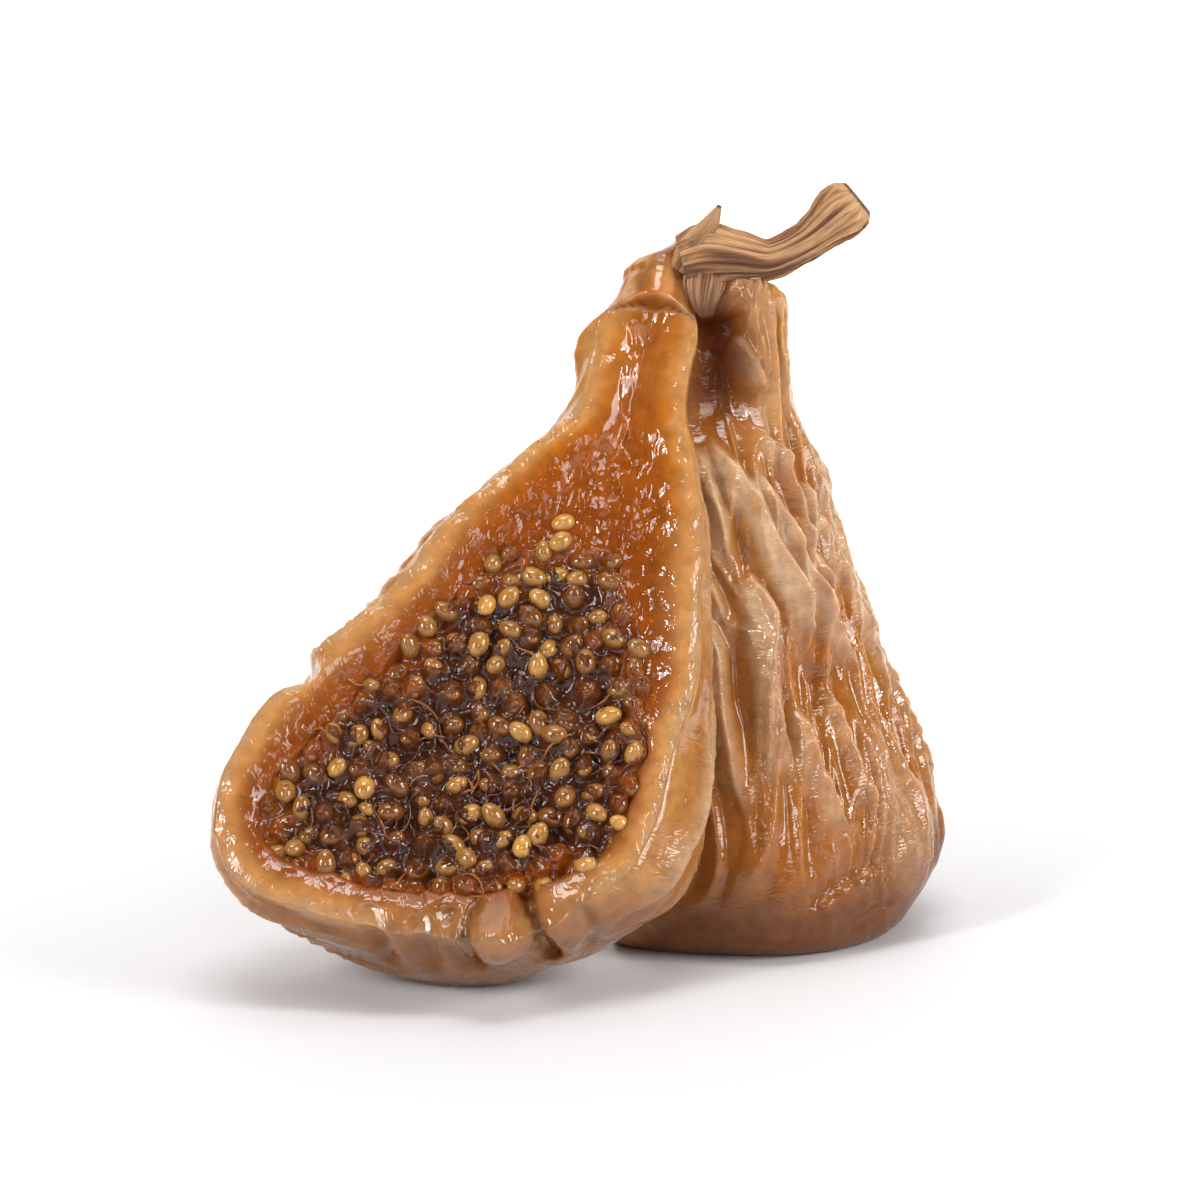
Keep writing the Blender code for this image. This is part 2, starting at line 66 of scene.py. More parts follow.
# Each row is one station of a half, from its neck to its eye: the left edge of the cut (across, up),
# the right edge (across, up), how far the skin goes back behind them, how high its furthest point is, and how
# far it swells out past the left edge and past the right edge.
FRONT_STATIONS = (
    (8.8, 54.6, 8.8, 54.6, 0.0, 54.6, 0.0, 0.0),
    (4.0, 52.8, 8.4, 52.0, 2.6, 52.4, 0.2, 0.0),
    (2.2, 49.8, 8.8, 48.9, 4.0, 49.3, 0.6, 0.0),
    (0.8, 46.8, 9.2, 46.2, 5.0, 46.3, 1.5, 0.2),
    (-0.5, 41.4, 8.2, 41.2, 6.6, 41.2, 1.0, 0.3),
    (-4.9, 37.2, 8.4, 37.2, 8.6, 37.2, 1.2, 0.3),
    (-10.0, 32.2, 8.7, 32.2, 10.8, 32.2, 0.9, 0.3),
    (-14.4, 26.5, 9.0, 25.9, 13.2, 25.9, 0.8, 0.4),
    (-20.8, 21.1, 9.0, 19.9, 15.0, 20.2, 0.8, 0.6),
    (-24.6, 14.9, 7.2, 14.4, 16.0, 14.4, 0.8, 2.8),
    (-25.9, 8.9, 5.6, 8.9, 16.4, 8.8, 0.4, 4.0),
    (-23.6, 4.6, 2.8, 4.8, 15.2, 4.4, 0.0, 4.4),
    (-17.8, 2.4, -0.7, 2.8, 13.0, 1.2, -0.4, 3.0),
    (-12.2, 1.3, -2.6, 1.6, 8.8, -0.1, 0.0, 1.2),
    (-6.6, 1.1, -6.6, 1.1, 0.0, 1.1, 0.0, 0.0),
)
BACK_STATIONS = (
    (0.8, 49.4, 0.8, 49.4, 6.0, 49.4, 0.0, 0.0),
    (-2.8, 47.2, 3.0, 47.2, 8.2, 47.6, 0.2, 0.2),
    (-4.0, 42.6, 4.0, 42.6, 8.1, 42.8, 0.5, 0.3),
    (-5.2, 38.6, 4.8, 38.6, 8.5, 38.6, 0.6, 0.3),
    (-7.6, 34.6, 6.4, 34.6, 9.7, 34.6, 0.8, 0.4),
    (-10.2, 29.8, 8.2, 29.8, 10.3, 29.8, 1.0, 0.5),
    (-12.4, 24.8, 9.8, 24.8, 11.9, 24.8, 1.2, 0.6),
    (-14.4, 19.6, 11.2, 19.6, 13.2, 19.6, 1.4, 0.8),
    (-16.0, 14.0, 12.8, 14.0, 15.4, 13.8, 1.6, 1.2),
    (-16.4, 8.6, 14.4, 8.6, 17.4, 8.4, 1.8, 1.6),
    (-14.6, 4.4, 14.4, 4.4, 17.4, 3.6, 1.6, 1.8),
    (-9.0, 0.9, 10.6, 1.4, 13.0, -0.9, 1.0, 1.6),
    (0.0, 0.2, 0.0, 0.2, 0.0, 0.2, 0.0, 0.0),
)
# Distance from the middle of the seeds to the wall around them, at even angles from the right-hand side.
FRONT_PULP_REACH = (
    12.3, 13.1, 15.0, 18.6, 16.8, 12.6, 10.8, 10.0, 10.9,
    13.9, 17.0, 13.8, 11.3, 10.2, 10.0, 10.7, 11.6, 11.8,
)
BACK_PULP_REACH = (10.4, 11.6, 14.6, 17.0, 15.0, 12.2, 12.0, 11.6, 10.4, 9.8, 9.6, 10.0)
FRONT_PULP_MIDDLE = (-7.0, 14.0)
BACK_PULP_MIDDLE = (-0.8, 15.0)

LEAN_BACK = math.radians(30)
FRONT_EYE = (0.0, -13.0, 5.4)
BACK_EYE = (10.0, 16.4, 0.2)
BACK_NECK = (7.0, 13.0, 49.0)
BACK_TURN = math.radians(9)
FRONT_CUT_FROM = 0.17

SKIN_SWELL_AT = 0.4
SKIN_FULLNESS = 0.86
SKIN_LENGTH = 50.0
SKIN_SHRINK = 0.5
LUMP_HEIGHT = 0.45
LUMP_SIZE = 7.0

# The folds that the photograph shows: height, width, then the path as (share of the length, degrees round).
BACK_FOLDS = (
    (1.1, 0.7, (0.12, 31), (0.14, 42), (0.19, 57)),
    (0.8, 0.8, (0.25, 42), (0.28, 54), (0.31, 63)),
    (1.2, 0.7, (0.26, 7), (0.29, 11), (0.33, 14), (0.36, 16), (0.42, 19)),
    (1.7, 0.8, (0.25, 13), (0.30, 24), (0.35, 33), (0.41, 40), (0.46, 47), (0.52, 51)),
    (1.3, 0.7, (0.31, 36), (0.37, 46), (0.43, 56), (0.50, 61), (0.57, 72)),
    (0.9, 0.7, (0.38, 60), (0.43, 66), (0.48, 68)),
    (0.9, 0.8, (0.33, 64), (0.40, 77), (0.47, 88), (0.54, 93)),
    (0.9, 0.6, (0.42, 8), (0.45, 12), (0.48, 15)),
    (1.7, 0.9, (0.43, 27), (0.48, 32), (0.53, 29), (0.60, 28), (0.66, 29)),
    (1.6, 0.8, (0.47, 7), (0.52, 12), (0.60, 12), (0.68, 13)),
    (1.3, 0.7, (0.59, 38), (0.65, 37), (0.72, 42)),
    (1.1, 0.7, (0.58, 55), (0.64, 53), (0.72, 54)),
    (1.0, 0.7, (0.64, 66), (0.69, 60), (0.73, 57)),
    (1.2, 3.4, (0.69, 70), (0.75, 71), (0.81, 69)),
)
# Creases and hollows in the same form, with their depth.
BACK_CREASES = (
    (0.8, 1.6, (0.53, 46), (0.57, 49), (0.61, 50)),
    (0.7, 0.6, (0.81, 29), (0.78, 38), (0.77, 48), (0.76, 56)),
    (0.5, 0.5, (0.87, 42), (0.85, 50), (0.83, 58)),
)
FOLD_STEEP, FOLD_SHALLOW = 0.62, 2.6

# Bumps and creases in a half's own frame: reach, push, then the path. The front half has the knob and the
# lobes at its eye and a notch in its left edge. The foot of the back half's near edge curls in behind it.
FRONT_BUMPS = (
    (2.0, (0.0, -0.9, 1.8), (-6.1, 1.2, -0.6), (-5.7, 0.8, -2.0)),
    (2.1, (0.2, -0.4, 0.9), (-0.9, 2.0, -0.6), (0.6, 2.2, -2.6)),
    (0.8, (0.0, 0.5, -1.4), (-3.7, 4.4, 0.0), (-3.4, 2.6, 0.0), (-2.8, 1.1, -1.2), (-2.1, 0.5, -4.0)),
    (0.8, (0.0, 0.5, -0.9), (-8.7, 2.4, 0.0), (-8.3, 1.0, -1.4), (-7.6, 0.3, -4.2)),
    (1.3, (1.5, 0.3, 0.0), (-21.4, 20.6, -0.6), (-21.0, 20.4, 0.4)),
)
BACK_BUMPS = ((4.6, (0.0, 0.0, 6.2), (14.5, 1.0, -0.5), (8.5, 0.6, -0.5)),)
# Finer ones that the plain model lacks: the clefts beside the knob, creases under the eye, notches in the
# left edge, and the flap beside the dark hollow of the back half.
FINE_FRONT_BUMPS = (
    (1.5, (0.0, -0.5, 0.3), (-5.4, 1.6, 1.2), (-5.5, 0.3, 0.6), (-5.6, 0.0, -1.5)),
    (
        0.5, (0.0, 0.6, -1.0),
        (-3.6, 4.4, -1.0), (-3.2, 3.0, -0.8), (-2.7, 1.7, -0.1), (-2.2, 1.3, -2.6), (-1.7, 1.0, -5.0),
    ),
    (
        0.5, (0.0, 0.5, -0.8),
        (-7.0, 3.6, 0.4), (-7.6, 2.4, 0.6), (-7.7, 0.8, 0.9), (-7.3, 0.2, -1.3), (-6.9, 0.3, -5.0),
    ),
    (0.7, (0.0, 0.6, -0.3), (-10.8, 2.0, 0.1), (-10.3, 0.9, -2.3), (-10.0, 0.7, -5.0)),
    (0.7, (0.0, 0.6, -0.3), (-14.2, 2.6, 0.1), (-13.6, 1.4, -2.3), (-13.0, 1.0, -6.0)),
    (0.7, (0.0, 0.6, -0.3), (0.4, 2.6, -0.3), (0.8, 2.0, -3.0), (1.0, 1.6, -6.0)),
    (1.3, (1.5, -0.6, -0.6), (-21.2, 21.9, -4.5), (-20.5, 21.5, -2.0), (-19.9, 21.0, -0.5)),
    (0.7, (0.8, -0.3, -0.3), (-22.6, 19.8, -4.0), (-22.2, 19.7, -1.0)),
)
FINE_BACK_BUMPS = ((0.8, (0.7, 0.0, -0.4), (0.6, 48.5, -5.0), (1.0, 45.0, -5.9), (1.8, 41.8, -6.4)),)
# Colours along paths: reach, strength, colour, then the path. The front half has its brown knob, with painted
# shade in the clefts beside it and in the cracks in its neck. The back half has painted shade over the dark
# red-brown of its hollow, and the pale flap beside it.
KNOB_COLOUR = (0.24, 0.095, 0.026)
# Painted shade for the clefts beside the knob and the cracks in the neck.
CLEFT_SHADE_COLOUR = (0.075, 0.018, 0.006)
# Painted shade over the hollow's own dark red-brown; it also darkens other shaded places.
HOLLOW_SHADE_COLOUR = (0.070, 0.010, 0.003)
FRONT_MARKS = (
    (2.8, 0.80, KNOB_COLOUR, (-12.0, 1.6, 0.0), (-5.6, 1.6, 0.6), (0.0, 2.4, 0.0)),
    (
        0.45, 0.9, CLEFT_SHADE_COLOUR,
        (-3.6, 4.4, -1.4), (-3.2, 3.0, -1.2), (-2.7, 1.8, -0.5), (-2.2, 1.6, -2.6), (-1.7, 1.3, -5.0),
    ),
    (
        0.45, 0.6, CLEFT_SHADE_COLOUR,
        (-7.0, 3.6, 0.0), (-7.6, 2.4, 0.2), (-7.7, 1.0, 0.5), (-7.3, 0.5, -1.3), (-6.9, 0.6, -5.0),
    ),
    (0.5, 0.8, CLEFT_SHADE_COLOUR, (8.2, 54.2, 0.3), (7.3, 52.0, 0.6), (7.0, 50.8, 0.6)),
    (0.4, 0.6, CLEFT_SHADE_COLOUR, (6.4, 52.8, 1.0), (5.1, 51.2, 1.1), (4.4, 49.8, 1.2)),
)
# Painted shade in the back half's hollow, over its own dark red-brown.
BACK_HOLLOW_SHADE_MARK = (2.9, 0.97, HOLLOW_SHADE_COLOUR, (0.8, 46.0, -2.8), (1.4, 44.0, -3.4), (2.2, 42.0, -3.0))
FLAP_COLOUR = (0.50, 0.27, 0.105)
BACK_MARKS = (
    (2.6, 0.8, FLAP_COLOUR, (-0.8, 50.0, -7.0), (0.9, 46.3, -7.6), (0.8, 42.5, -8.0), (1.8, 39.5, -7.0)),
    BACK_HOLLOW_SHADE_MARK,
)
# A seed of the front half that lies above the others: across, up, and how much the syrup covers it.
LONE_SEED = (-1.2, 32.0, 0.3)

FINE_INSET = 0.08
CRINKLE_HEIGHT = 0.15
CRINKLE_SIZE = 1.1
WRINKLE_HEIGHT = 0.60
WRINKLE_WIDTH = 1.7
WRINKLE_TURN = 2.4
# The dark hollow in the back half beside the front half's neck: its width, then the path of its middle.
BACK_HOLLOW = (2.9, (0.09, 15), (0.14, 24), (0.20, 24))
HOLLOW_DEPTH = 2.3
RIM_ROUNDING = 0.22

STATIONS = 250
# How many points each ring of a half has round its skin, and then across its cut face.
FRONT_RING = (180, 195)
BACK_RING = (255, 115)

FRONT_BED = (420, 160)
BACK_BED = (260, 100)
BED_LEVEL = 1.25

SEED_LENGTH = 1.85
SEED_WIDTH = 1.4
FRONT_SEED_SPACING = 1.36
BACK_SEED_SPACING = 1.6
SEED_SIDES, SEED_RINGS = 16, 10
THREAD_COUNT = 90

ROD = (
    (7.5, 12.3, 50.6, 1.9, 1.8),
    (9.3, 12.2, 51.1, 2.4, 2.1),
    (11.4, 12.0, 51.1, 1.9, 1.9),
    (13.6, 11.6, 50.9, 1.5, 1.5),
    (15.0, 11.3, 51.4, 1.4, 1.4),
    (16.5, 11.0, 52.3, 1.4, 1.45),
    (17.6, 10.8, 53.2, 1.55, 1.6),
    (18.8, 10.5, 54.3, 1.95, 2.0),
    (19.6, 10.3, 55.0, 1.9, 1.95),
    (20.2, 10.2, 55.5, 1.3, 1.35),
)
ROOT = (
    (9.2, 12.2, 51.0, 1.0, 1.0),
    (9.1, 11.8, 49.5, 1.7, 1.9),
    (9.1, 11.4, 47.9, 1.2, 1.5),
    (9.3, 11.1, 46.8, 0.5, 0.6),
)
SPLINTER = (
    (7.4, 11.9, 50.0, 1.0, 1.0),
    (8.3, 11.7, 51.6, 1.3, 1.3),
    (9.4, 11.6, 53.3, 0.8, 1.0),
    (10.2, 11.5, 54.9, 0.15, 0.2),
)
STEM_SIDES = 150

# Colours as linear red, green and blue: the cut face from its edge inwards, the pulp, the skin and the wood.
EDGE_COLOUR = (0.39, 0.225, 0.100)
WALL_COLOUR = (0.43, 0.20, 0.062)
AMBER_COLOUR = (0.36, 0.115, 0.009)
DEEP_AMBER_COLOUR = (0.28, 0.066, 0.004)
RED_COLOUR = (0.20, 0.042, 0.004)
SYRUP_COLOUR = (0.150, 0.042, 0.005)
PULP_COLOUR = (0.040, 0.011, 0.005)
SKIN_COLOUR = (0.37, 0.152, 0.034)
# The crests' own paler skin with a painted sheen in it.
CREST_AND_SHEEN_COLOUR = (0.50, 0.33, 0.185)
STUB_COLOUR = (0.42, 0.19, 0.060)
VALLEY_COLOUR = (0.31, 0.100, 0.014)
BOTTOM_COLOUR = (0.125, 0.038, 0.007)
PALE_WOOD_COLOUR = (0.56, 0.32, 0.145)
WOOD_COLOUR = (0.31, 0.118, 0.032)
DARK_WOOD_COLOUR = (0.085, 0.024, 0.008)

WORLD_LIGHT = 0.08
OVERHEAD_LIGHT = 1.0
# How much light of its own the floor gives off near the fig, then round it, then far behind it: a painted
# glow, kept low near the fig so that it leaves a painted soft shadow there.
FLOOR_GLOW = (0.0, 0.70, 0.9)
# Each lamp: its name, its power in watts, its size and its place in metres. The wide ones lay a pale sheen on
# the crests of the folds, and the small ones make the bright wet spots.
LAMPS = (
    ("key", 1.45, (0.20, 0.26), (-0.37, -0.36, 0.22)),
    ("key_core", 0.55, (0.03, 0.10), (-0.32, -0.34, 0.33)),
    ("right", 1.6, (0.20, 0.30), (0.44, -0.24, 0.24)),
    ("right_core", 0.40, (0.02, 0.14), (0.42, -0.14, 0.30)),
    ("front", 0.35, (0.14, 0.16), (0.08, -0.52, 0.24)),
    ("top", 1.0, (0.26, 0.14), (0.00, -0.12, 0.56)),
)

CAMERA_HEIGHT_ANGLE = math.radians(10)
CAMERA_DISTANCE = 241.7
CAMERA_TARGET = (1.45, 5.0, 26.8)
CAMERA_LENS = 100
CAMERA_SENSOR = 36


def eased(low, high, value):
    """0 below low, 1 above high, and a smooth rise between them."""
    share = np.clip((value - low) / (high - low), 0, 1)
    return share * share * (3 - 2 * share)


def spline(before, start, end, after, t):
    """The smooth curve from start to end that also heeds the points around them."""
    bend = 2 * before - 5 * start + 4 * end - after
    return start + 0.5 * t * (end - before + t * (bend + t * (3 * (start - end) + after - before)))


def smooth_through(rows, share):
    """The smooth curve through evenly spaced rows, read at shares from 0 to 1."""
    rows = np.asarray(rows, float)
    last = len(rows) - 1
    padded = np.vstack([2 * rows[0] - rows[1], rows, 2 * rows[-1] - rows[-2]])
    place = np.clip(np.asarray(share, float) * last, 0, last - 1e-9)
    index = place.astype(int)
    return spline(*(padded[index + k] for k in range(4)), (place - index)[:, None])


def smooth_around(values, turn):
    """The smooth closed curve through evenly spaced values, read at shares of a full turn."""
    values = np.asarray(values)
    place = np.asarray(turn) * len(values)
    index = np.floor(place).astype(int)
    return spline(*(values[(index + k) % len(values)] for k in (-1, 0, 1, 2)), place - index)


def make_noise(seed):
    """A smooth random field of about -0.7 to 0.7, with features one unit across."""
    draw = np.random.default_rng(seed)
    order = draw.permutation(256)
    slopes = draw.normal(size=(256, 3))
    slopes /= np.linalg.norm(slopes, axis=1)[:, None]

    def noise(points):
        cell = np.floor(points).astype(int)
        inside = points - cell
        fade = inside * inside * inside * (inside * (inside * 6 - 15) + 10)
        total = np.zeros(points.shape[:-1])
        for corner in itertools.product((0, 1), repeat=3):
            c = (cell + corner) & 255
            slope = slopes[order[(order[(order[c[..., 0]] + c[..., 1]) & 255] + c[..., 2]) & 255]]
            weight = np.prod(np.where(corner, fade, 1 - fade), axis=-1)
            total += weight * np.sum(slope * (inside - corner), axis=-1)
        return total

    return noise


def ridged(noise, points):
    """Sharp crests where the noise changes sign: about 0 to 1, and 1 on a crest."""
    return 1 - np.minimum(1, 3.2 * np.abs(noise(points)))


def swell(angle):
    """How far the skin swells out behind the edge of the cut: 0 at the edge, then up to 1, then less."""
    return angle / SKIN_SWELL_AT * np.exp(1 - angle / SKIN_SWELL_AT)


def path_parts(share, phi, reach, path):
    """For each part of a path over the skin: how far points are from it, on which side, and how far along."""
    for k, (start, end) in enumerate(zip(path, path[1:])):
        along = (end[0] - start[0]) * SKIN_LENGTH
        across = math.radians(end[1] - start[1]) * reach
        x = (share - start[0]) * SKIN_LENGTH
        y = (phi - math.radians(start[1])) * reach
        t = np.clip((x * along + y * across) / (along**2 + across**2), 0, 1)
        side = ((y - t * across) * along - (x - t * along) * across) * np.sign(along)
        yield np.hypot(x - t * along, y - t * across), side, (k + t) / (len(path) - 1)


def fold_height(share, phi, reach, height, width, *path):
    """The height of one fold: a ramp up to a sharp crest, then a steep drop beyond it."""
    total = np.zeros(np.broadcast(share, phi).shape)
    for away, side, done in path_parts(share, phi, reach, path):
        drop = np.exp(-((away / width / FOLD_STEEP) ** 2))
        ramp = np.clip(1 - away / width / FOLD_SHALLOW, 0, 1) ** 1.2
        taper = np.minimum(1, 5 * np.minimum(done, 1 - done) + 0.15)
        total = np.maximum(total, height * taper * np.where(side > 0, drop, ramp))
    return total


def closeness(share, phi, reach, width, *path):
    """1 on a path over the skin, and less around it."""
    away = np.min([part[0] for part in path_parts(share, phi, reach, path)], axis=0)
    return np.exp(-((away / width) ** 2))


def joined_height(share, phi, reach, folds):
    """The height of all folds together, rounded where they meet."""
    total = 0.0
    for fold in folds:
        total = total + fold_height(share, phi, reach, *fold) ** 3
    return total ** (1 / 3)


def nearness(points, reach, path):
    """1 on a path through space, and less around it."""
    nearest = np.full(points.shape[:-1], np.inf)
    for start, end in zip(path, path[1:]):
        line = np.subtract(end, start)
        t = np.clip((points - start) @ line / (line @ line), 0, 1)
        nearest = np.minimum(nearest, np.linalg.norm(points - start - t[..., None] * line, axis=-1))
    return np.exp(-((nearest / reach) ** 2))


def pushed(points, bumps):
    """The points moved by each bump, most on its path and less around it."""
    for reach, push, *path in bumps:
        points = points + nearness(points, reach, path)[..., None] * push
    return points


def drawn_folds(count, seed, heights, angles, span):
    """Long folds by a rule: side by side round the skin, each wandering from the neck towards the eye."""
    draw = np.random.default_rng(seed)
    folds = []
    for k in range(count):
        middle = angles[0] + (angles[1] - angles[0]) * (k + 0.5 + draw.uniform(-0.3, 0.3)) / count
        start, end = span[0] + draw.uniform(0, 0.16), span[1] - draw.uniform(0, 0.2)
        shares = np.linspace(start, end, 5)
        path = [(s, middle + draw.uniform(-3.5, 3.5)) for s in shares]
        folds.append((draw.uniform(*heights), draw.uniform(0.8, 1.3), *path))
    return folds


def normals_of(points):
    down, round_ = np.gradient(points, axis=0), np.gradient(points, axis=1)
    normal = np.cross(down, round_)
    return normal / np.maximum(np.linalg.norm(normal, axis=-1), 1e-9)[..., None]


def mixed(low, high, amount):
    """A colour for each point, from low where the amount is 0 to high where it is 1."""
    amount = np.asarray(amount)[..., None]
    return np.asarray(low) * (1 - amount) + np.asarray(high) * amount


class SkinLook:
    """What lies where on the skin: folds, creases, wrinkles, the dark hollow and the edge of the cut."""

    def __init__(self, folds, creases):
        self.folds, self.creases = folds, creases


class Half:
    """One half of the fig, in its own frame: across the cut face, up it, and out of it.

    A calm bottom has few wrinkles, a wrinkled half has more of them, and marks and dull say where its colour
    and its gloss change along paths.
    """

    hollow = None
    calm_bottom = 0.0
    wrinkled = 1.0
    marks = ()
    dull = ()

    def __init__(self, stations, folds, creases, bumps, cut_from, pulp_reach, pulp_middle, place, seed):
        self.stations, self.folds, self.creases = stations, folds, creases
        self.bumps, self.cut_from = bumps, cut_from
        self.pulp_reach, self.pulp_middle = pulp_reach, pulp_middle
        self.origin, self.up, self.out = (np.array(v, float) for v in place)
        self.across = np.cross(self.up, self.out)
        self.seed = seed
        self.noise = make_noise(seed)
        self.fine = make_noise(seed + 100)

    def to_world(self, local):
        return self.origin + local @ np.array([self.across, self.up, self.out]) - OUTLINE_MIDDLE

    def skin(self, share, phi):
        """Points of the outer skin, and what lies where on it."""
        row = smooth_through(self.stations, share)
        left, right = row[:, 0:2], row[:, 2:4]
        middle, half = (left + right) / 2, (right - left) / 2
        sideways, backwards = np.cos(phi), np.sin(phi) ** SKIN_FULLNESS
        points = np.empty((len(share), len(phi), 3))
        points[..., 0] = middle[:, 0, None] + half[:, 0, None] * sideways
        points[..., 0] += row[:, 7, None] * swell(phi) - row[:, 6, None] * swell(math.pi - phi)
        points[..., 1] = middle[:, 1, None] + half[:, 1, None] * sideways
        points[..., 1] += (row[:, 5] - middle[:, 1])[:, None] * backwards
        points[..., 2] = -row[:, 4, None] * backwards
        reach = ((row[:, 2] - row[:, 0]) / 2 + row[:, 4])[:, None] / 2
        s, p = share[:, None], phi[None, :]
        look = SkinLook(joined_height(s, p, reach, self.folds), joined_height(s, p, reach, self.creases))
        look.wrinkles = self.wrinkles(s, p, reach)
        look.edge = row[:, 4, None] * np.minimum(phi, math.pi - phi)
        look.lane = np.stack(np.broadcast_arrays(1.0 * p * reach, 3.0 * SKIN_LENGTH * s, 0.0), -1)
        look.hollow = closeness(s, p, reach, *self.hollow) if self.hollow else 0 * look.folds
        return points + normals_of(points) * self.skin_relief(points, s, p, look)[..., None], look

    def wrinkles(self, share, phi, reach):
        """Narrow wrinkles between the folds, along them: 1 on a crest."""
        turned = phi + WRINKLE_TURN * np.maximum(0, 0.5 - share)
        round_, down = turned * reach / WRINKLE_WIDTH, share * SKIN_LENGTH / 8.0
        lane = np.stack(np.broadcast_arrays(round_, down, 0.0), -1)
        wander = [self.noise(lane / 1.7 + 60.0), 0.4 * self.fine(lane / 1.3 + 70.0), 0 * lane[..., 0]]
        amount = self.noise(lane / 2.6 + 13.0) + self.wrinkled - 1.0
        return ridged(self.fine, lane + 0.8 * np.stack(wander, -1) + 3.0) * eased(-0.3, 0.2, amount)

    def skin_relief(self, points, share, phi, look):
        lumps = LUMP_HEIGHT * self.noise(points / LUMP_SIZE) * (0.3 + 0.7 * np.sin(phi))
        ends = eased(0.0, 0.08, share) * (1 - eased(0.79, 0.97, share))
        calm = 1 - self.calm_bottom * eased(0.74, 0.82, share)
        inside = 0.45 + 0.55 * np.sin(phi) ** 0.35
        crinkles = 0.7 * ridged(self.fine, points / CRINKLE_SIZE + 7.3) + 0.6 * self.fine(points / 0.55)
        rough = 0.25 + 0.75 * eased(0.15, 0.8, look.folds + 0.6 * look.wrinkles) * (1 - look.hollow)
        crinkles = CRINKLE_HEIGHT * rough * crinkles
        wrinkles = WRINKLE_HEIGHT * self.wrinkled * look.wrinkles * (0.35 + 0.65 * calm) * (1 - look.hollow)
        lumps = lumps + 0.22 * self.noise(points / 3.1 + 41.0)
        relief = (look.folds - look.creases + lumps - SKIN_SHRINK) * ends - HOLLOW_DEPTH * look.hollow
        eye = 1 - 0.92 * eased(0.70, 0.88, share)
        return relief + (crinkles * (0.4 + 0.6 * calm) + wrinkles - 0.16) * inside * eye - FINE_INSET

    def pulp_share(self, across, up):
        """How far out a point of the cut face is, as a share of the way to the edge of the pulp."""
        dx, dy = across - self.pulp_middle[0], up - self.pulp_middle[1]
        turn = (np.arctan2(dy, dx) / (2 * math.pi)) % 1.0
        return np.hypot(dx, dy) / smooth_around(self.pulp_reach, turn)

    def bent(self, flat, size, amount):
        """Places on the cut face, moved about by a swirl of a given size."""
        swirl = [self.noise(flat / size + 80.0), self.fine(flat / size + 90.0), 0 * flat[..., 0]]
        return flat + amount * np.stack(swirl, -1)

    def bed_base(self, across, up):
        """Height of the open side of the pulp without its seeds: the hollows and mounds that it dried to."""
        flat = np.stack([across, up, 0 * across], -1)
        share = self.pulp_share(across, up)
        level = -BED_LEVEL - 0.9 * (1 - eased(0.0, 0.8, share)) + 1.1 * self.noise(flat / 2.9 + 40.0)
        bent = self.bent(flat, 1.5, 0.7)
        return level + 0.2 * self.fine(flat / 0.9 + 11.0) + 0.4 * ridged(self.fine, bent / 2.0 + 30.0) ** 3

    def face_level(self, across, up, edge, pulp, whole):
        """Height of the cut face: up from its edge in a round, then sunk from the rim towards the pulp."""
        flat = np.stack([across, up, 0 * across], -1)
        hollow = 1.1 * eased(1.5, 8.0, edge) * eased(1.02, 1.5, pulp)
        nicks = 0.25 * eased(0.05, 0.5, self.fine(flat / 2.1 + 70.0)) * (1 - eased(0.5, 1.4, edge))
        level = (RIM_ROUNDING - nicks) * eased(0, 0.9, edge) - 1.15 * eased(1.3, 5.0, edge) - hollow
        wet = eased(1.0, 4.0, edge)
        near = 1 - eased(1.1, 1.75, pulp)
        bent = self.bent(flat, 1.3, 0.5)
        ripple = 0.4 * self.noise(flat / 2.1 + 5.0) + (0.08 + 0.16 * near) * self.fine(flat / 0.75 + 9.0)
        blisters = ridged(self.fine, bent / 1.5 + 3.0) ** 2 * near
        fibres = 0.15 * ridged(self.fine, bent / (0.8, 2.6, 1.0) + 21.0)
        fibres = (fibres + 0.5 * self.noise(bent / (1.5, 3.4, 1.0))) * eased(26.0, 34.0, up)
        level = level + (0.2 + 0.4 * wet) * eased(0, 0.5, edge) * ripple + (0.19 * blisters + fibres) * wet
        level = level - 2.2 * (1 - eased(0.84, 0.97, pulp + 0.06 * self.noise(flat / 2.0)))
        return level * (1 - whole)

    def face(self, share, left, right, part):
        """Points of the cut face from left to right, their distance from its edge and their pulp share."""
        points = left[:, None] + (right - left)[:, None] * part[None, :, None]
        width = np.linalg.norm(right - left, axis=1)[:, None]
        across, up = points[..., 0], points[..., 1]
        edge = nearest_of(np.vstack([left, right])[:, :2], points)[0]
        pulp = self.pulp_share(across, up)
        arc = self.cut_from - 0.02 * np.sin(math.pi * part)[None, :]
        whole = 1 - eased(arc, arc + 0.012, share[:, None])
        round_neck = 0.35 * width * np.sin(math.pi * part)[None, :]
        points[..., 2] += self.face_level(across, up, edge, pulp, whole) + whole * round_neck
        return points, edge, pulp, whole

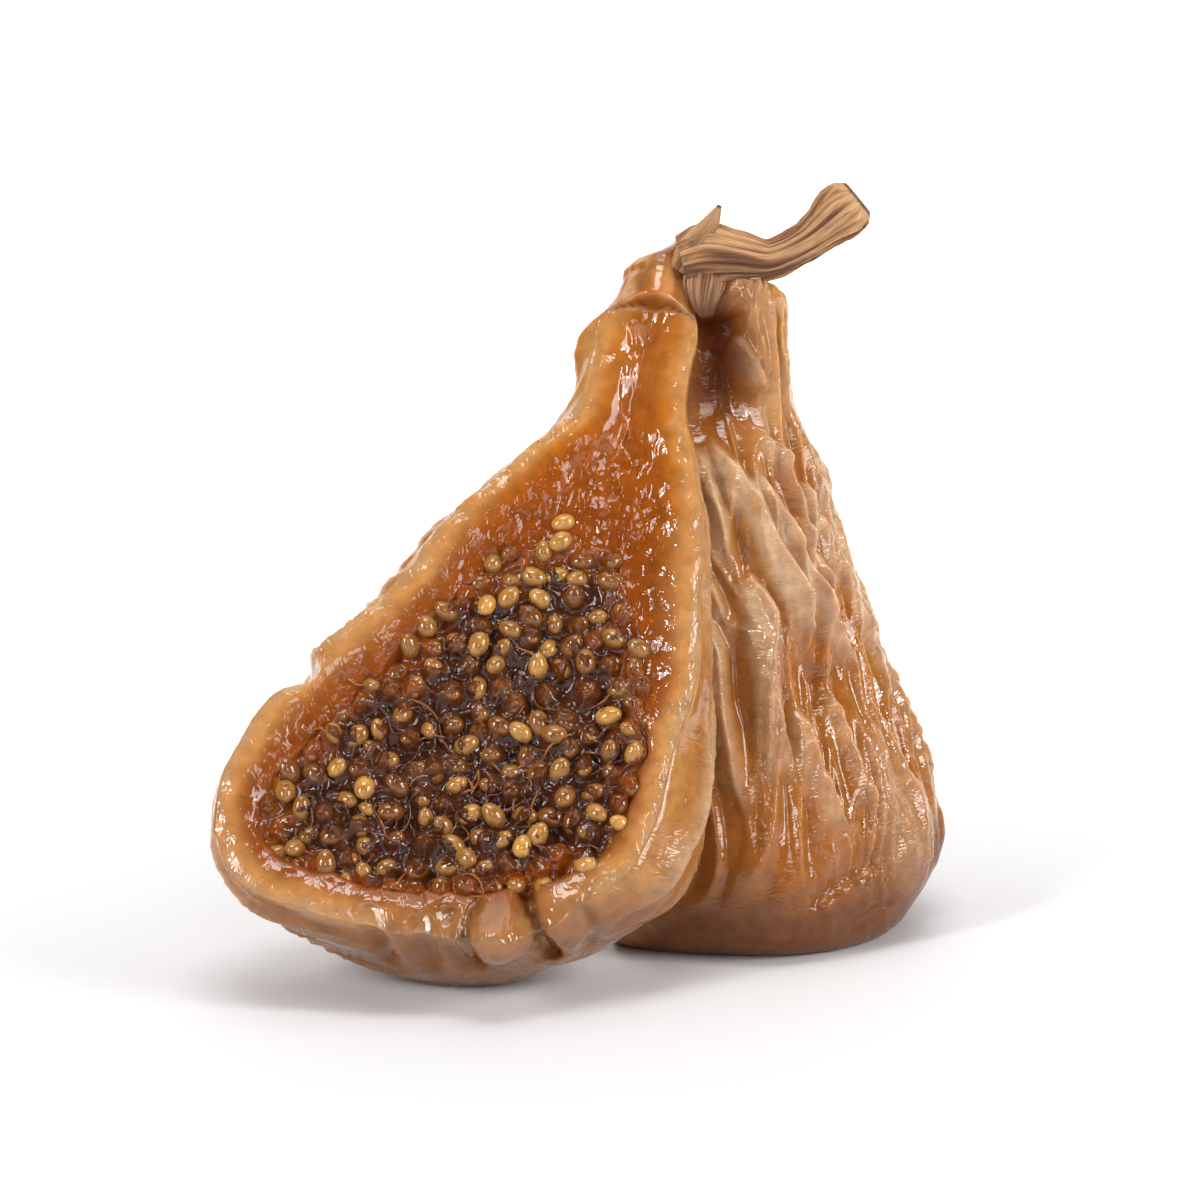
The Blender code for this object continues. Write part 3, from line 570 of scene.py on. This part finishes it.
    def body(self, skin_points, face_points):
        """The whole half as rings of points with a pole at each end, and the look of each point."""
        share = np.linspace(0, 1, STATIONS + 2)[1:-1]
        skin, look = self.skin(share, np.linspace(0, math.pi, skin_points))
        part = np.linspace(0, 1, face_points + 2)[1:-1]
        face, edge, pulp, whole = self.face(share, skin[:, -1], skin[:, 0], part)
        tint = [self.skin_tint(share[:, None], skin, look), self.face_tint(face, edge, pulp, whole)]
        tint = np.concatenate(tint, axis=1)
        raised = 0.32 + 0.68 * eased(0.2, 0.9, look.folds + 0.7 * look.wrinkles - look.hollow)
        wet = 0.22 + 0.4 * (1 - eased(1.1, 1.6, pulp)) + 0.25 * (1 - eased(0.5, 1.5, edge))
        crinkle = np.concatenate([raised, wet], axis=1)
        lane = np.concatenate([look.lane, face * (1.5, 1.0, 1.5) + 30.0], axis=1)
        ends = smooth_through(self.stations, np.array([0.0, 1.0]))
        poles = np.stack([ends[:, 0], ends[:, 1], 0 * ends[:, 0]], 1)
        rings = pushed(np.concatenate([skin, face], axis=1), self.bumps)
        for reach, strength, colour, *path in self.marks:
            tint = mixed(tint, colour, strength * nearness(rings, reach, path))
        skin_gloss = 1 - 0.35 * self.calm_bottom * eased(0.74, 0.84, share)[:, None] + 0 * look.folds
        gloss = np.concatenate([skin_gloss, 1 - 0.35 * eased(1.5, 3.5, edge)], axis=1)
        for reach, strength, colour, *path in self.dull:
            gloss = gloss * (1 - strength * nearness(rings, reach, path))
        return self.to_world(rings), self.to_world(pushed(poles, self.bumps)), tint, crinkle, lane, gloss

    def skin_tint(self, share, points, look):
        blotch = self.noise(points / 5.0 + 17.0)
        fleck = self.fine(points / 1.4 + 23.0)
        raised = look.folds + 0.45 * look.wrinkles
        tint = mixed(VALLEY_COLOUR, SKIN_COLOUR, np.clip(0.45 + 0.9 * blotch, 0, 1))
        tint = mixed(tint, DEEP_AMBER_COLOUR, 0.45 * self.calm_bottom * (1 - eased(0.05, 0.4, raised)))
        # Crests are paler: partly their own colour, partly a painted sheen.
        tint = mixed(tint, CREST_AND_SHEEN_COLOUR, eased(0.25, 1.1, raised) * (0.75 + 0.5 * fleck))
        tint = mixed(tint, VALLEY_COLOUR, 0.5 * self.calm_bottom * eased(0.42, 0.72, share))
        bottom = (0.5 + 0.38 * self.calm_bottom) * eased(0.72, 0.84, share + 0.05 * blotch)
        tint = mixed(tint, BOTTOM_COLOUR, bottom)
        tint = mixed(tint, WALL_COLOUR, 0.8 * (1 - eased(0.1, 1.8, look.edge + 0.8 * blotch)))
        # Painted shade: the creases are darkened to the valley colour.
        tint = mixed(tint, VALLEY_COLOUR, 0.7 * eased(0.3, 0.9, look.creases))
        return tint

    def face_tint(self, points, edge, pulp, whole):
        blotch = self.noise(points / 3.0 + 50.0)
        fleck = self.fine(points / 0.9 + 60.0)
        far = (edge + 0.9 * blotch + 0.35 * fleck) * (1 + 1.3 * eased(27.0, 37.0, points[..., 1]))
        near = pulp + 0.12 * blotch + 0.05 * fleck
        tint = mixed(EDGE_COLOUR, WALL_COLOUR, eased(0.1, 0.9, far))
        tint = mixed(tint, AMBER_COLOUR, eased(1.3, 4.3, far))
        tint = mixed(tint, DEEP_AMBER_COLOUR, eased(2.8, 6.5, far) * (1 - eased(1.5, 2.6, near)))
        tint = mixed(tint, RED_COLOUR, 0.9 * (1 - eased(1.0, 1.45, near)) * eased(0.8, 2.4, far))
        tint = mixed(tint, WALL_COLOUR, 0.15 * eased(36.0, 44.0, points[..., 1]))
        streak = self.fine(points * (1.0, 0.25, 1.0) / 0.7 + 33.0)
        stub = mixed(VALLEY_COLOUR, STUB_COLOUR, eased(-0.35, 0.35, streak + 0.5 * blotch))
        tint = mixed(tint, stub, whole)
        # Painted shade: a dark line along the step where the uncut neck stands proud of the cut face.
        return mixed(tint, HOLLOW_SHADE_COLOUR, 0.7 * eased(0.0, 0.25, whole) * (1 - eased(0.3, 0.9, whole)))


def nearest_of(line, points):
    """For each point, the distance to the nearest of some places on the cut face, and which it is."""
    tree = KDTree(len(line))
    for k, (across, up) in enumerate(line):
        tree.insert((across, up, 0), k)
    tree.balance()
    found = [tree.find((p[0], p[1], 0))[1:] for p in points.reshape(-1, points.shape[-1])]
    nearest, away = (np.array(v).reshape(points.shape[:-1]) for v in zip(*found))
    return away, nearest


def inside_the_box(points):
    """Flattens what would reach below the surface that the fig stands on, or past the plain model's sides."""
    low, high = (np.array(corner) / MM for corner in cad_box)
    return np.clip(points, low + 0.01, high - 0.01)


def make_mesh(name, points, faces, material, **values):
    """One object from points in millimetres, with a value or a colour for each point where given."""
    mesh = bpy.data.meshes.new(name)
    mesh.from_pydata(points * MM, [], faces)
    for key, value in values.items():
        value = np.asarray(value, np.float32)
        if value.ndim == 1:
            mesh.attributes.new(key, "FLOAT", "POINT").data.foreach_set("value", value)
        else:
            full = np.column_stack([value, np.ones(len(value), np.float32)])
            mesh.attributes.new(key, "FLOAT_COLOR", "POINT").data.foreach_set("color", full.ravel())
    mesh.materials.append(material)
    mesh.shade_smooth()
    mesh.update()
    item = bpy.data.objects.new(name, mesh)
    bpy.context.collection.objects.link(item)
    return item


def ring_faces(rows, columns, first=0):
    """Faces of a closed loft: rings of points, then the start pole and the end pole."""
    k = np.arange(columns)
    after = (k + 1) % columns
    faces = []
    for row in range(rows - 1):
        top, low = first + row * columns, first + (row + 1) * columns
        faces += np.stack([top + k, low + k, low + after, top + after], 1).tolist()
    start, end = first + rows * columns, first + rows * columns + 1
    last = first + (rows - 1) * columns
    faces += [[start, first + int(a), first + int(b)] for a, b in zip(k, after)]
    faces += [[end, last + int(b), last + int(a)] for a, b in zip(k, after)]
    return faces


def nodes_for(name):
    """A new material with its node tree, its shader, and a function that adds a node."""
    material = bpy.data.materials.new(name)
    material.use_nodes = True
    tree = material.node_tree
    shader = tree.nodes["Principled BSDF"]

    def add(kind, inputs=(), **settings):
        item = tree.nodes.new(kind)
        for key, value in settings.items():
            setattr(item, key, value)
        for socket, value in dict(inputs).items():
            if isinstance(value, bpy.types.NodeSocket):
                tree.links.new(value, item.inputs[socket])
            else:
                item.inputs[socket].default_value = value
        return item

    def link(value, socket):
        tree.links.new(value, shader.inputs[socket])

    return material, shader, add, link


def set_shader(shader, **values):
    for key, value in values.items():
        shader.inputs[key.replace("_", " ")].default_value = value


def mottle(add, link, pattern, low, high, top=0.7):
    """The colour of each point, made darker and lighter by a pattern."""
    tint = add("ShaderNodeAttribute", attribute_name="tint").outputs["Color"]
    lift = add("ShaderNodeMapRange", {"Value": pattern.outputs["Fac"], "From Min": 0.3, "From Max": top,
                                      "To Min": low, "To Max": high})
    colour = add("ShaderNodeVectorMath", {0: tint, 1: lift.outputs["Result"]}, operation="MULTIPLY")
    link(colour.outputs["Vector"], "Base Color")


def flesh_material():
    """Sticky translucent flesh: the colour of each point, with crinkles on the crests, under a wet coat."""
    material, shader, add, link = nodes_for("fig_flesh_wet")
    place = add("ShaderNodeTexCoord").outputs["Object"]
    crinkle = add("ShaderNodeAttribute", attribute_name="crinkle").outputs["Fac"]
    spots = add("ShaderNodeTexNoise", {"Vector": place, "Scale": 900.0, "Detail": 4.0, "Roughness": 0.6})
    mottle(add, link, spots, 0.80, 1.20)
    lane = add("ShaderNodeAttribute", attribute_name="lane").outputs["Vector"]
    grain = add("ShaderNodeTexNoise", {"Vector": place, "Scale": 1500.0, "Detail": 0.0})
    fine = add("ShaderNodeBump", {"Height": grain.outputs["Fac"], "Strength": 0.4, "Distance": 0.00006})
    ripples = add("ShaderNodeTexNoise", {"Vector": lane, "Scale": 0.9, "Detail": 1.0, "Distortion": 2.0})
    waves = add("ShaderNodeMath", {0: ripples.outputs["Fac"], 1: crinkle}, operation="MULTIPLY")
    broad = add("ShaderNodeBump", {"Height": waves.outputs["Value"], "Strength": 0.8, "Distance": 0.00011,
                                   "Normal": fine.outputs["Normal"]})
    link(broad.outputs["Normal"], "Normal")
    link(broad.outputs["Normal"], "Coat Normal")
    link(add("ShaderNodeAttribute", attribute_name="gloss").outputs["Fac"], "Coat Weight")
    set_shader(shader, Roughness=0.38, Subsurface_Weight=0.35, Subsurface_Radius=(1.0, 0.42, 0.12),
               Subsurface_Scale=0.0022, Coat_Roughness=0.05, Coat_IOR=1.55, Specular_IOR_Level=0.0)
    return material


def pulp_material():
    """The dark sticky pulp between the seeds: glossy, with red and amber where it is thin."""
    material, shader, add, link = nodes_for("fig_pulp_wet")
    place = add("ShaderNodeTexCoord").outputs["Object"]
    strands = add("ShaderNodeTexNoise", {"Vector": place, "Scale": 900.0, "Detail": 2.0, "Distortion": 1.5})
    mottle(add, link, strands, 0.6, 1.7, 0.75)
    bump = add("ShaderNodeBump", {"Height": strands.outputs["Fac"], "Strength": 0.4, "Distance": 0.00018})
    link(bump.outputs["Normal"], "Normal")
    link(bump.outputs["Normal"], "Coat Normal")
    set_shader(shader, Roughness=0.3, Specular_IOR_Level=0.0, Subsurface_Weight=0.15,
               Subsurface_Radius=(1.0, 0.25, 0.1), Subsurface_Scale=0.001,
               Coat_Weight=0.8, Coat_Roughness=0.03, Coat_IOR=1.5)
    return material


def seed_material():
    """Tan seeds, golden where they stand out and brown where the pulp stains them."""
    material, shader, add, link = nodes_for("fig_seed")
    place = add("ShaderNodeTexCoord").outputs["Object"]
    stain = add("ShaderNodeTexNoise", {"Vector": place, "Scale": 1700.0, "Detail": 3.0})
    mottle(add, link, stain, 0.7, 1.25)
    bump = add("ShaderNodeBump", {"Height": stain.outputs["Fac"], "Strength": 0.25, "Distance": 0.0001})
    link(bump.outputs["Normal"], "Normal")
    set_shader(shader, Roughness=0.34, Subsurface_Weight=0.2, Subsurface_Radius=(1.0, 0.5, 0.2),
               Subsurface_Scale=0.0006, Coat_Weight=1.0, Coat_Roughness=0.05, Coat_IOR=1.6,
               Specular_IOR_Level=0.0)
    return material


def stem_material():
    """Dry fibrous wood: pale and dark fibres that run along the stem."""
    material, shader, add, link = nodes_for("stem_wood")
    fibre = add("ShaderNodeAttribute", attribute_name="fibre").outputs["Vector"]
    strands = add("ShaderNodeTexNoise", {"Vector": fibre, "Scale": 1.0, "Detail": 5.0, "Roughness": 0.6})
    mottle(add, link, strands, 0.6, 1.35)
    bump = add("ShaderNodeBump", {"Height": strands.outputs["Fac"], "Strength": 0.7, "Distance": 0.0003})
    link(bump.outputs["Normal"], "Normal")
    set_shader(shader, Roughness=0.62, Subsurface_Weight=0.05, Subsurface_Radius=(1.0, 0.5, 0.25),
               Subsurface_Scale=0.0006, Coat_Weight=0.1, Coat_Roughness=0.3)
    return material


def make_flesh(name, half, skin_points, face_points, material):
    rings, poles, tint, crinkle, lane, gloss = half.body(skin_points, face_points)
    points = np.vstack([inside_the_box(rings).reshape(-1, 3), inside_the_box(poles)])
    faces = ring_faces(rings.shape[0], rings.shape[1])
    tint = np.vstack([tint.reshape(-1, 3), tint[0, :1], tint[-1, :1]])
    lane = np.vstack([lane.reshape(-1, 3), lane[0, :1], lane[-1, :1]])
    crinkle = np.concatenate([crinkle.ravel(), [0.5, 0.5]])
    gloss = np.concatenate([gloss.ravel(), [1.0, 1.0]])
    return make_mesh(name, points, faces, material, tint=tint, crinkle=crinkle, lane=lane, gloss=gloss)


def make_bed(name, half, seeds, grid, material):
    """The open side of the pulp: syrup that sinks at its edge and covers each seed more or less."""
    sides, rings = grid
    turn = np.arange(sides) / sides
    reach = smooth_around(half.pulp_reach, turn)
    shares = np.sqrt(np.linspace(0, 1, rings + 1)[1:]) * 1.08
    angle = turn * 2 * math.pi
    spread = shares[:, None] * reach
    across = half.pulp_middle[0] + spread * np.cos(angle)
    up = half.pulp_middle[1] + spread * np.sin(angle)
    flat = np.stack([across, up, 0 * across], -1)
    away, nearest = nearest_of(seeds[:, :2], flat)
    cover = seeds[nearest, 2]
    crumple = half.fine(flat / 0.7 + 20.0)
    dome = (0.3 + 0.7 * cover + 0.4 * crumple) * np.exp(-((away / 0.74) ** 2.6))
    edge = shares[:, None] + 0.05 * half.noise(flat / 1.7 + 70.0)
    level = half.bed_base(across, up) + dome - 1.5 * eased(0.95, 1.07, edge)
    middle = np.array([[*half.pulp_middle, level[0].mean()], [*half.pulp_middle, -4.5]])
    points = half.to_world(np.vstack([np.stack([across, up, level], -1).reshape(-1, 3), middle]))
    blotch = half.noise(flat / 2.6 + 50.0)
    warm = eased(0.72, 1.0, shares[:, None] + 0.3 * blotch)
    tint = mixed(PULP_COLOUR, RED_COLOUR, warm)
    raised = np.clip(dome + 0.25 * crumple + 0.35 * blotch, 0, 1)
    # Painted light: the syrup tint over the seeds grows stronger towards the top of the pulp.
    lit = 0.35 + 0.5 * eased(8.0, 20.0, up)
    tint = mixed(tint, SYRUP_COLOUR, lit * raised * (0.55 + 0.45 * cover))
    # Painted shade: the pulp darkens in the low hollows of the bed.
    low = eased(0.2, 1.3, -BED_LEVEL - level)
    tint = mixed(tint, PULP_COLOUR, 0.6 * low * (1 - 0.6 * warm))
    tint = np.vstack([tint.reshape(-1, 3), PULP_COLOUR, RED_COLOUR])
    return make_mesh(name, points, ring_faces(rings, sides), material, tint=tint)


def seed_places(half, spacing, seed):
    """Places for the seeds, none too near another, each with how much the syrup covers it from 0 to 1."""
    draw = np.random.default_rng(seed)
    kept = np.empty((0, 3))
    for _ in range(9000):
        place = draw.uniform((-18, -12), (14, 19)) + half.pulp_middle
        room = np.linalg.norm(kept[:, :2] - place, axis=1).min(initial=9.0)
        crowd = half.noise(np.array([*place / 2.2, 95.0]))
        if room > spacing * (1 - 0.9 * min(0, crowd)) and half.pulp_share(*place) < 0.97:
            kept = np.vstack([kept, (*place, draw.uniform(0, 1) ** 0.4)])
    return kept


def turned_to(direction):
    """The three axes of a thing whose own long axis points in a direction."""
    along = np.asarray(direction) / np.linalg.norm(direction)
    side = np.cross(along, (0.3, 0.5, 0.8))
    side /= np.linalg.norm(side)
    return np.array([side, np.cross(along, side), along])


def make_seeds(name, half, places, material):
    """Egg-shaped seeds that stand out of the pulp to different heights, each in a tone of its own."""
    draw = np.random.default_rng(half.seed + 5)
    tall = np.linspace(0, math.pi, SEED_RINGS + 2)[1:-1]
    round_ = np.arange(SEED_SIDES) * 2 * math.pi / SEED_SIDES
    egg = np.stack([
        np.sin(tall)[:, None] * np.cos(round_),
        np.sin(tall)[:, None] * np.sin(round_),
        np.cos(tall)[:, None] * (1 + 0 * round_),
    ], -1).reshape(-1, 3)
    egg = np.vstack([egg, (0, 0, 1), (0, 0, -1)])
    egg[:, :2] *= (1 - 0.12 * egg[:, 2:])
    points, faces, tints = [], [], []
    for across, up, cover in places:
        scale = draw.uniform(0.8, 1.12) / 2
        size = scale * np.array([SEED_WIDTH, SEED_WIDTH * draw.uniform(0.82, 1.0), SEED_LENGTH])
        lie = draw.uniform(0, 2 * math.pi)
        axes = turned_to((math.cos(lie), math.sin(lie), draw.uniform(-0.2, 1.1)))
        level = half.bed_base(np.array([across]), np.array([up]))[0]
        level += 0.38 - 0.28 * cover + draw.uniform(-0.1, 0.1)
        local = (egg * size) @ axes + (across, up, level)
        faces += ring_faces(SEED_RINGS, SEED_SIDES, len(points) * len(egg))
        points.append(half.to_world(local))
        gold = np.clip(1.0 - cover + draw.uniform(-0.3, 0.25), 0, 1)
        tone = mixed((0.17, 0.055, 0.008), (0.50, 0.245, 0.050), gold)
        low = 1 - eased(-0.35, 0.35, local[:, 2] - level)
        tints.append(mixed(tone * np.ones((len(egg), 3)), (0.10, 0.032, 0.008), 0.75 * low))
    return make_mesh(name, np.vstack(points), faces, material, tint=np.vstack(tints))


def make_threads(name, half, material):
    """The dried threads of the florets, which lie over the pulp between the seeds."""
    draw = np.random.default_rng(half.seed + 9)
    sides, steps = 6, 9
    round_ = np.arange(sides) * 2 * math.pi / sides
    points, faces, tints = [], [], []
    for _ in range(THREAD_COUNT):
        turn = draw.uniform(0, 1)
        reach = smooth_around(half.pulp_reach, np.array([turn]))[0]
        spread = reach * draw.uniform(0.1, 1.02)
        angle = turn * 2 * math.pi
        place = np.array(half.pulp_middle) + spread * np.array([math.cos(angle), math.sin(angle)])
        aim = angle + draw.normal(0, 0.7)
        length, bend = draw.uniform(1.2, 3.2), draw.normal(0, 0.5)
        t = np.linspace(-0.5, 0.5, steps)
        across = place[0] + length * t * math.cos(aim) - bend * t * t * 4 * math.sin(aim)
        up = place[1] + length * t * math.sin(aim) + bend * t * t * 4 * math.cos(aim)
        level = half.bed_base(across, up) + draw.uniform(0.05, 0.4) + 0.15 * (1 - 4 * t * t)
        line = np.stack([across, up, level], -1)
        along = np.gradient(line, axis=0)
        along /= np.linalg.norm(along, axis=1)[:, None]
        side = np.cross(along, (0, 0, 1.0))
        side /= np.linalg.norm(side, axis=1)[:, None]
        rise = np.cross(side, along)
        thick = draw.uniform(0.06, 0.11) * (1 - 0.8 * np.abs(2 * t) ** 2.5)
        ring = line[:, None] + thick[:, None, None] * (
            np.cos(round_)[None, :, None] * side[:, None] + np.sin(round_)[None, :, None] * rise[:, None]
        )
        first = sum(len(p) for p in points)
        faces += ring_faces(steps, sides, first)
        points.append(half.to_world(np.vstack([ring.reshape(-1, 3), line[0], line[-1]])))
        tone = mixed((0.06, 0.015, 0.008), (0.26, 0.09, 0.015), draw.uniform(0, 1) ** 2)
        tints.append(tone * np.ones((len(points[-1]), 3)))
    return make_mesh(name, np.vstack(points), faces, material, tint=np.vstack(tints))


def stem_part(stations, rings, seed, rib_height, end_from, end_colour):
    """Points, fibre coordinates and colours of one rod of the stem."""
    noise = make_noise(seed)
    row = smooth_through(stations, np.linspace(0, 1, rings))
    middle = row[:, :3] - OUTLINE_MIDDLE
    along = np.gradient(middle, axis=0)
    along /= np.linalg.norm(along, axis=1)[:, None]
    depth = np.array([0.0, 1.0, 0.0])
    rise = np.cross(along, depth)
    rise /= np.linalg.norm(rise, axis=1)[:, None]
    run = np.linspace(0, 1, rings)[:, None]
    length = np.linalg.norm(np.diff(middle, axis=0), axis=1).sum()
    angle = np.arange(STEM_SIDES) * 2 * math.pi / STEM_SIDES
    twisted = angle + 0.5 * run
    lane = np.stack([np.cos(twisted), np.sin(twisted), run * length / 8 + 0 * twisted], -1)
    ribs = ridged(noise, lane * (2.2, 2.2, 0.8))
    fibres = ridged(noise, lane * (7.0, 7.0, 1.3) + 9.0)
    threads = noise(lane * (19.0, 19.0, 3.0) + 4.0)
    relief = rib_height * ribs + 0.10 * fibres + 0.07 * threads - 0.19
    rises = row[:, 3, None] * (1 + relief) * np.cos(angle)
    depths = row[:, 4, None] * (1 + relief) * np.sin(angle)
    ring = middle[:, None] + rise[:, None] * rises[..., None] + depth * depths[..., None]
    patch = noise(lane * (1.6, 1.6, 1.7) + 6.0)
    streak = noise(lane * (8.0, 8.0, 1.2) + 5.0)
    # Painted shade: darker along the stem's lower front side, less so towards its end.
    underside_shade = np.cos(angle + 2.3 - 0.6 * run) * (1 - run)
    tint = mixed(WOOD_COLOUR, PALE_WOOD_COLOUR, eased(-0.2, 0.45, 0.6 * patch + 0.9 * streak + 0.3 * run))
    dark = 0.7 * underside_shade - 0.6 * patch - 1.2 * streak - 0.25 * ribs
    tint = mixed(tint, DARK_WOOD_COLOUR, 0.8 * eased(0.0, 0.6, dark))
    tint = mixed(tint, end_colour, 0.8 * eased(end_from, 0.93, run + 0.1 * streak))
    tint = mixed(tint, DARK_WOOD_COLOUR, 0.9 * eased(0.955, 0.98, run + 0.01 * streak))
    points = np.vstack([ring.reshape(-1, 3), middle[[0, -1]]])
    tints = np.vstack([tint.reshape(-1, 3), tint[0, :1], end_colour])
    fibre = lane * (26.0, 26.0, 6.0)
    fibre = np.vstack([fibre.reshape(-1, 3), (0, 0, 0), (0, 0, 9.0)])
    return points, tints, fibre


def make_stem(name, material):
    points, faces, tints, fibres = [], [], [], []
    for stations, rings, seed, rib_height, end_from, end_colour in (
        (ROD, 170, 61, 0.20, 0.84, PALE_WOOD_COLOUR),
        # The root darkens towards its lower end with the painted shade of the hollow.
        (ROOT, 50, 62, 0.06, 0.20, HOLLOW_SHADE_COLOUR),
        (SPLINTER, 50, 63, 0.10, 0.10, PALE_WOOD_COLOUR),
    ):
        p, tint, fibre = stem_part(stations, rings, seed, rib_height, end_from, end_colour)
        faces += ring_faces(rings, STEM_SIDES, sum(len(q) for q in points))
        points.append(p)
        tints.append(tint)
        fibres.append(fibre)
    return make_mesh(name, np.vstack(points), faces, material, tint=np.vstack(tints), fibre=np.vstack(fibres))


def front_half():
    up = (0.0, math.sin(LEAN_BACK), math.cos(LEAN_BACK))
    out = (0.0, -math.cos(LEAN_BACK), math.sin(LEAN_BACK))
    folds = drawn_folds(19, 11, (0.4, 0.9), (8, 172), (0.24, 0.98))
    place = (FRONT_EYE, up, out)
    pulp = (FRONT_PULP_REACH, FRONT_PULP_MIDDLE)
    bumps = FRONT_BUMPS + FINE_FRONT_BUMPS
    half = Half(FRONT_STATIONS, folds, (), bumps, FRONT_CUT_FROM, *pulp, place, 3)
    half.marks = FRONT_MARKS
    return half


def back_half():
    up = np.array(BACK_NECK) - BACK_EYE
    up /= np.linalg.norm(up)
    out = np.array([-math.cos(BACK_TURN), math.sin(BACK_TURN), 0.0])
    out -= up * (out @ up)
    out /= np.linalg.norm(out)
    folds = [*BACK_FOLDS, *drawn_folds(11, 23, (0.6, 1.1), (90, 176), (0.2, 0.92))]
    place = (BACK_EYE, up, out)
    pulp = (BACK_PULP_REACH, BACK_PULP_MIDDLE)
    half = Half(BACK_STATIONS, folds, BACK_CREASES, BACK_BUMPS + FINE_BACK_BUMPS, -1.0, *pulp, place, 8)
    half.marks = BACK_MARKS
    half.dull = (BACK_HOLLOW_SHADE_MARK,)
    half.hollow = BACK_HOLLOW
    half.calm_bottom = 1.0
    half.wrinkled = 1.3
    return half


def make_camera():
    data = bpy.data.cameras.new("camera")
    data.lens = CAMERA_LENS
    data.sensor_width = CAMERA_SENSOR
    data.clip_start = 0.005
    camera = bpy.data.objects.new("camera", data)
    bpy.context.collection.objects.link(camera)
    away = Vector((0, -math.cos(CAMERA_HEIGHT_ANGLE), math.sin(CAMERA_HEIGHT_ANGLE)))
    camera.location = (Vector(CAMERA_TARGET) - Vector(OUTLINE_MIDDLE) + away * CAMERA_DISTANCE) * MM
    camera.rotation_euler = (-away).to_track_quat("-Z", "Y").to_euler()
    bpy.context.scene.camera = camera


def make_light(name, power, size, place, target=(0, 0, 0.025)):
    data = bpy.data.lights.new(name, "AREA")
    data.shape = "RECTANGLE"
    data.energy = power
    data.size, data.size_y = size
    light = bpy.data.objects.new(name, data)
    bpy.context.collection.objects.link(light)
    light.location = place
    light.rotation_euler = (Vector(target) - Vector(place)).to_track_quat("-Z", "Y").to_euler()


def make_floor():
    """A white floor that curves up into a white backdrop far behind the fig, with a painted glow that grows
    away from the fig and leaves a painted soft shadow round it.
    """
    material, shader, add, link = nodes_for("white_floor")
    place = add("ShaderNodeTexCoord").outputs["Object"]
    # Painted shadow: the glow is centred a little in front of the fig and is missing close to it.
    spot = add("ShaderNodeVectorMath", {0: place, 1: (0.02, -0.06, 0.0)}, operation="SUBTRACT")
    away = add("ShaderNodeVectorMath", {0: spot.outputs["Vector"]}, operation="LENGTH")
    near = add("ShaderNodeMapRange", {"Value": away.outputs["Value"], "From Min": 0.07, "From Max": 0.19,
                                      "To Min": FLOOR_GLOW[0], "To Max": FLOOR_GLOW[1]})
    glow = add("ShaderNodeMapRange", {"Value": away.outputs["Value"], "From Min": 0.25, "From Max": 1.2,
                                      "To Min": near.outputs["Result"], "To Max": FLOOR_GLOW[2]})
    link(glow.outputs["Result"], "Emission Strength")
    set_shader(shader, Base_Color=(0.74, 0.73, 0.74, 1.0), Roughness=0.7, Specular_IOR_Level=0.2,
               Emission_Color=(1.0, 1.0, 1.0, 1.0))
    size, depth, bend = 3.0, 2.2, 0.8
    profile = [(-size, 0.0), (depth - bend, 0.0)]
    for k in range(1, 13):
        a = k / 12 * math.pi / 2
        profile.append((depth - bend + bend * math.sin(a), bend - bend * math.cos(a)))
    profile.append((depth, 2.5))
    points = np.array([(x, y, z) for y, z in profile for x in (-size, size)]) / MM
    faces = [(2 * k, 2 * k + 1, 2 * k + 3, 2 * k + 2) for k in range(len(profile) - 1)]
    floor = make_mesh("floor", points, faces, material)


def make_light_and_world():
    world = bpy.data.worlds.new("studio")
    world.use_nodes = True
    world.node_tree.nodes["Background"].inputs["Color"].default_value = (1, 1, 1, 1)
    world.node_tree.nodes["Background"].inputs["Strength"].default_value = WORLD_LIGHT
    bpy.context.scene.world = world
    data = bpy.data.lights.new("overhead", "SUN")
    data.energy = OVERHEAD_LIGHT
    data.angle = math.radians(55)
    overhead = bpy.data.objects.new("overhead", data)
    overhead.rotation_euler = (math.radians(-20), math.radians(4), 0)
    bpy.context.collection.objects.link(overhead)
    for light in LAMPS:
        make_light(*light)
    bpy.context.scene.view_settings.view_transform = "Standard"


def dress(piece, node):
    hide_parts(node)
    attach(piece, "root")


def main():
    flesh, pulp, seed, wood = flesh_material(), pulp_material(), seed_material(), stem_material()
    front, back = front_half(), back_half()
    for side, half, counts in (("front", front, FRONT_RING), ("back", back, BACK_RING)):
        dress(make_flesh(side + "_half_flesh", half, *counts, flesh), "fig_flesh")
    for side, half, spacing, grid in (
        ("front", front, FRONT_SEED_SPACING, FRONT_BED),
        ("back", back, BACK_SEED_SPACING, BACK_BED),
    ):
        node = side + "_pulp"
        places = seed_places(half, spacing, half.seed + 6)
        if half is front:
            places = np.vstack([places, LONE_SEED])
        dress(make_bed(side + "_pulp_bed", half, places, grid, pulp), node)
        dress(make_seeds(side + "_seeds", half, places, seed), node)
        dress(make_threads(side + "_threads", half, pulp), node)
    dress(make_stem("woody_stem", wood), "stem")
    make_floor()
    make_camera()
    make_light_and_world()


main()
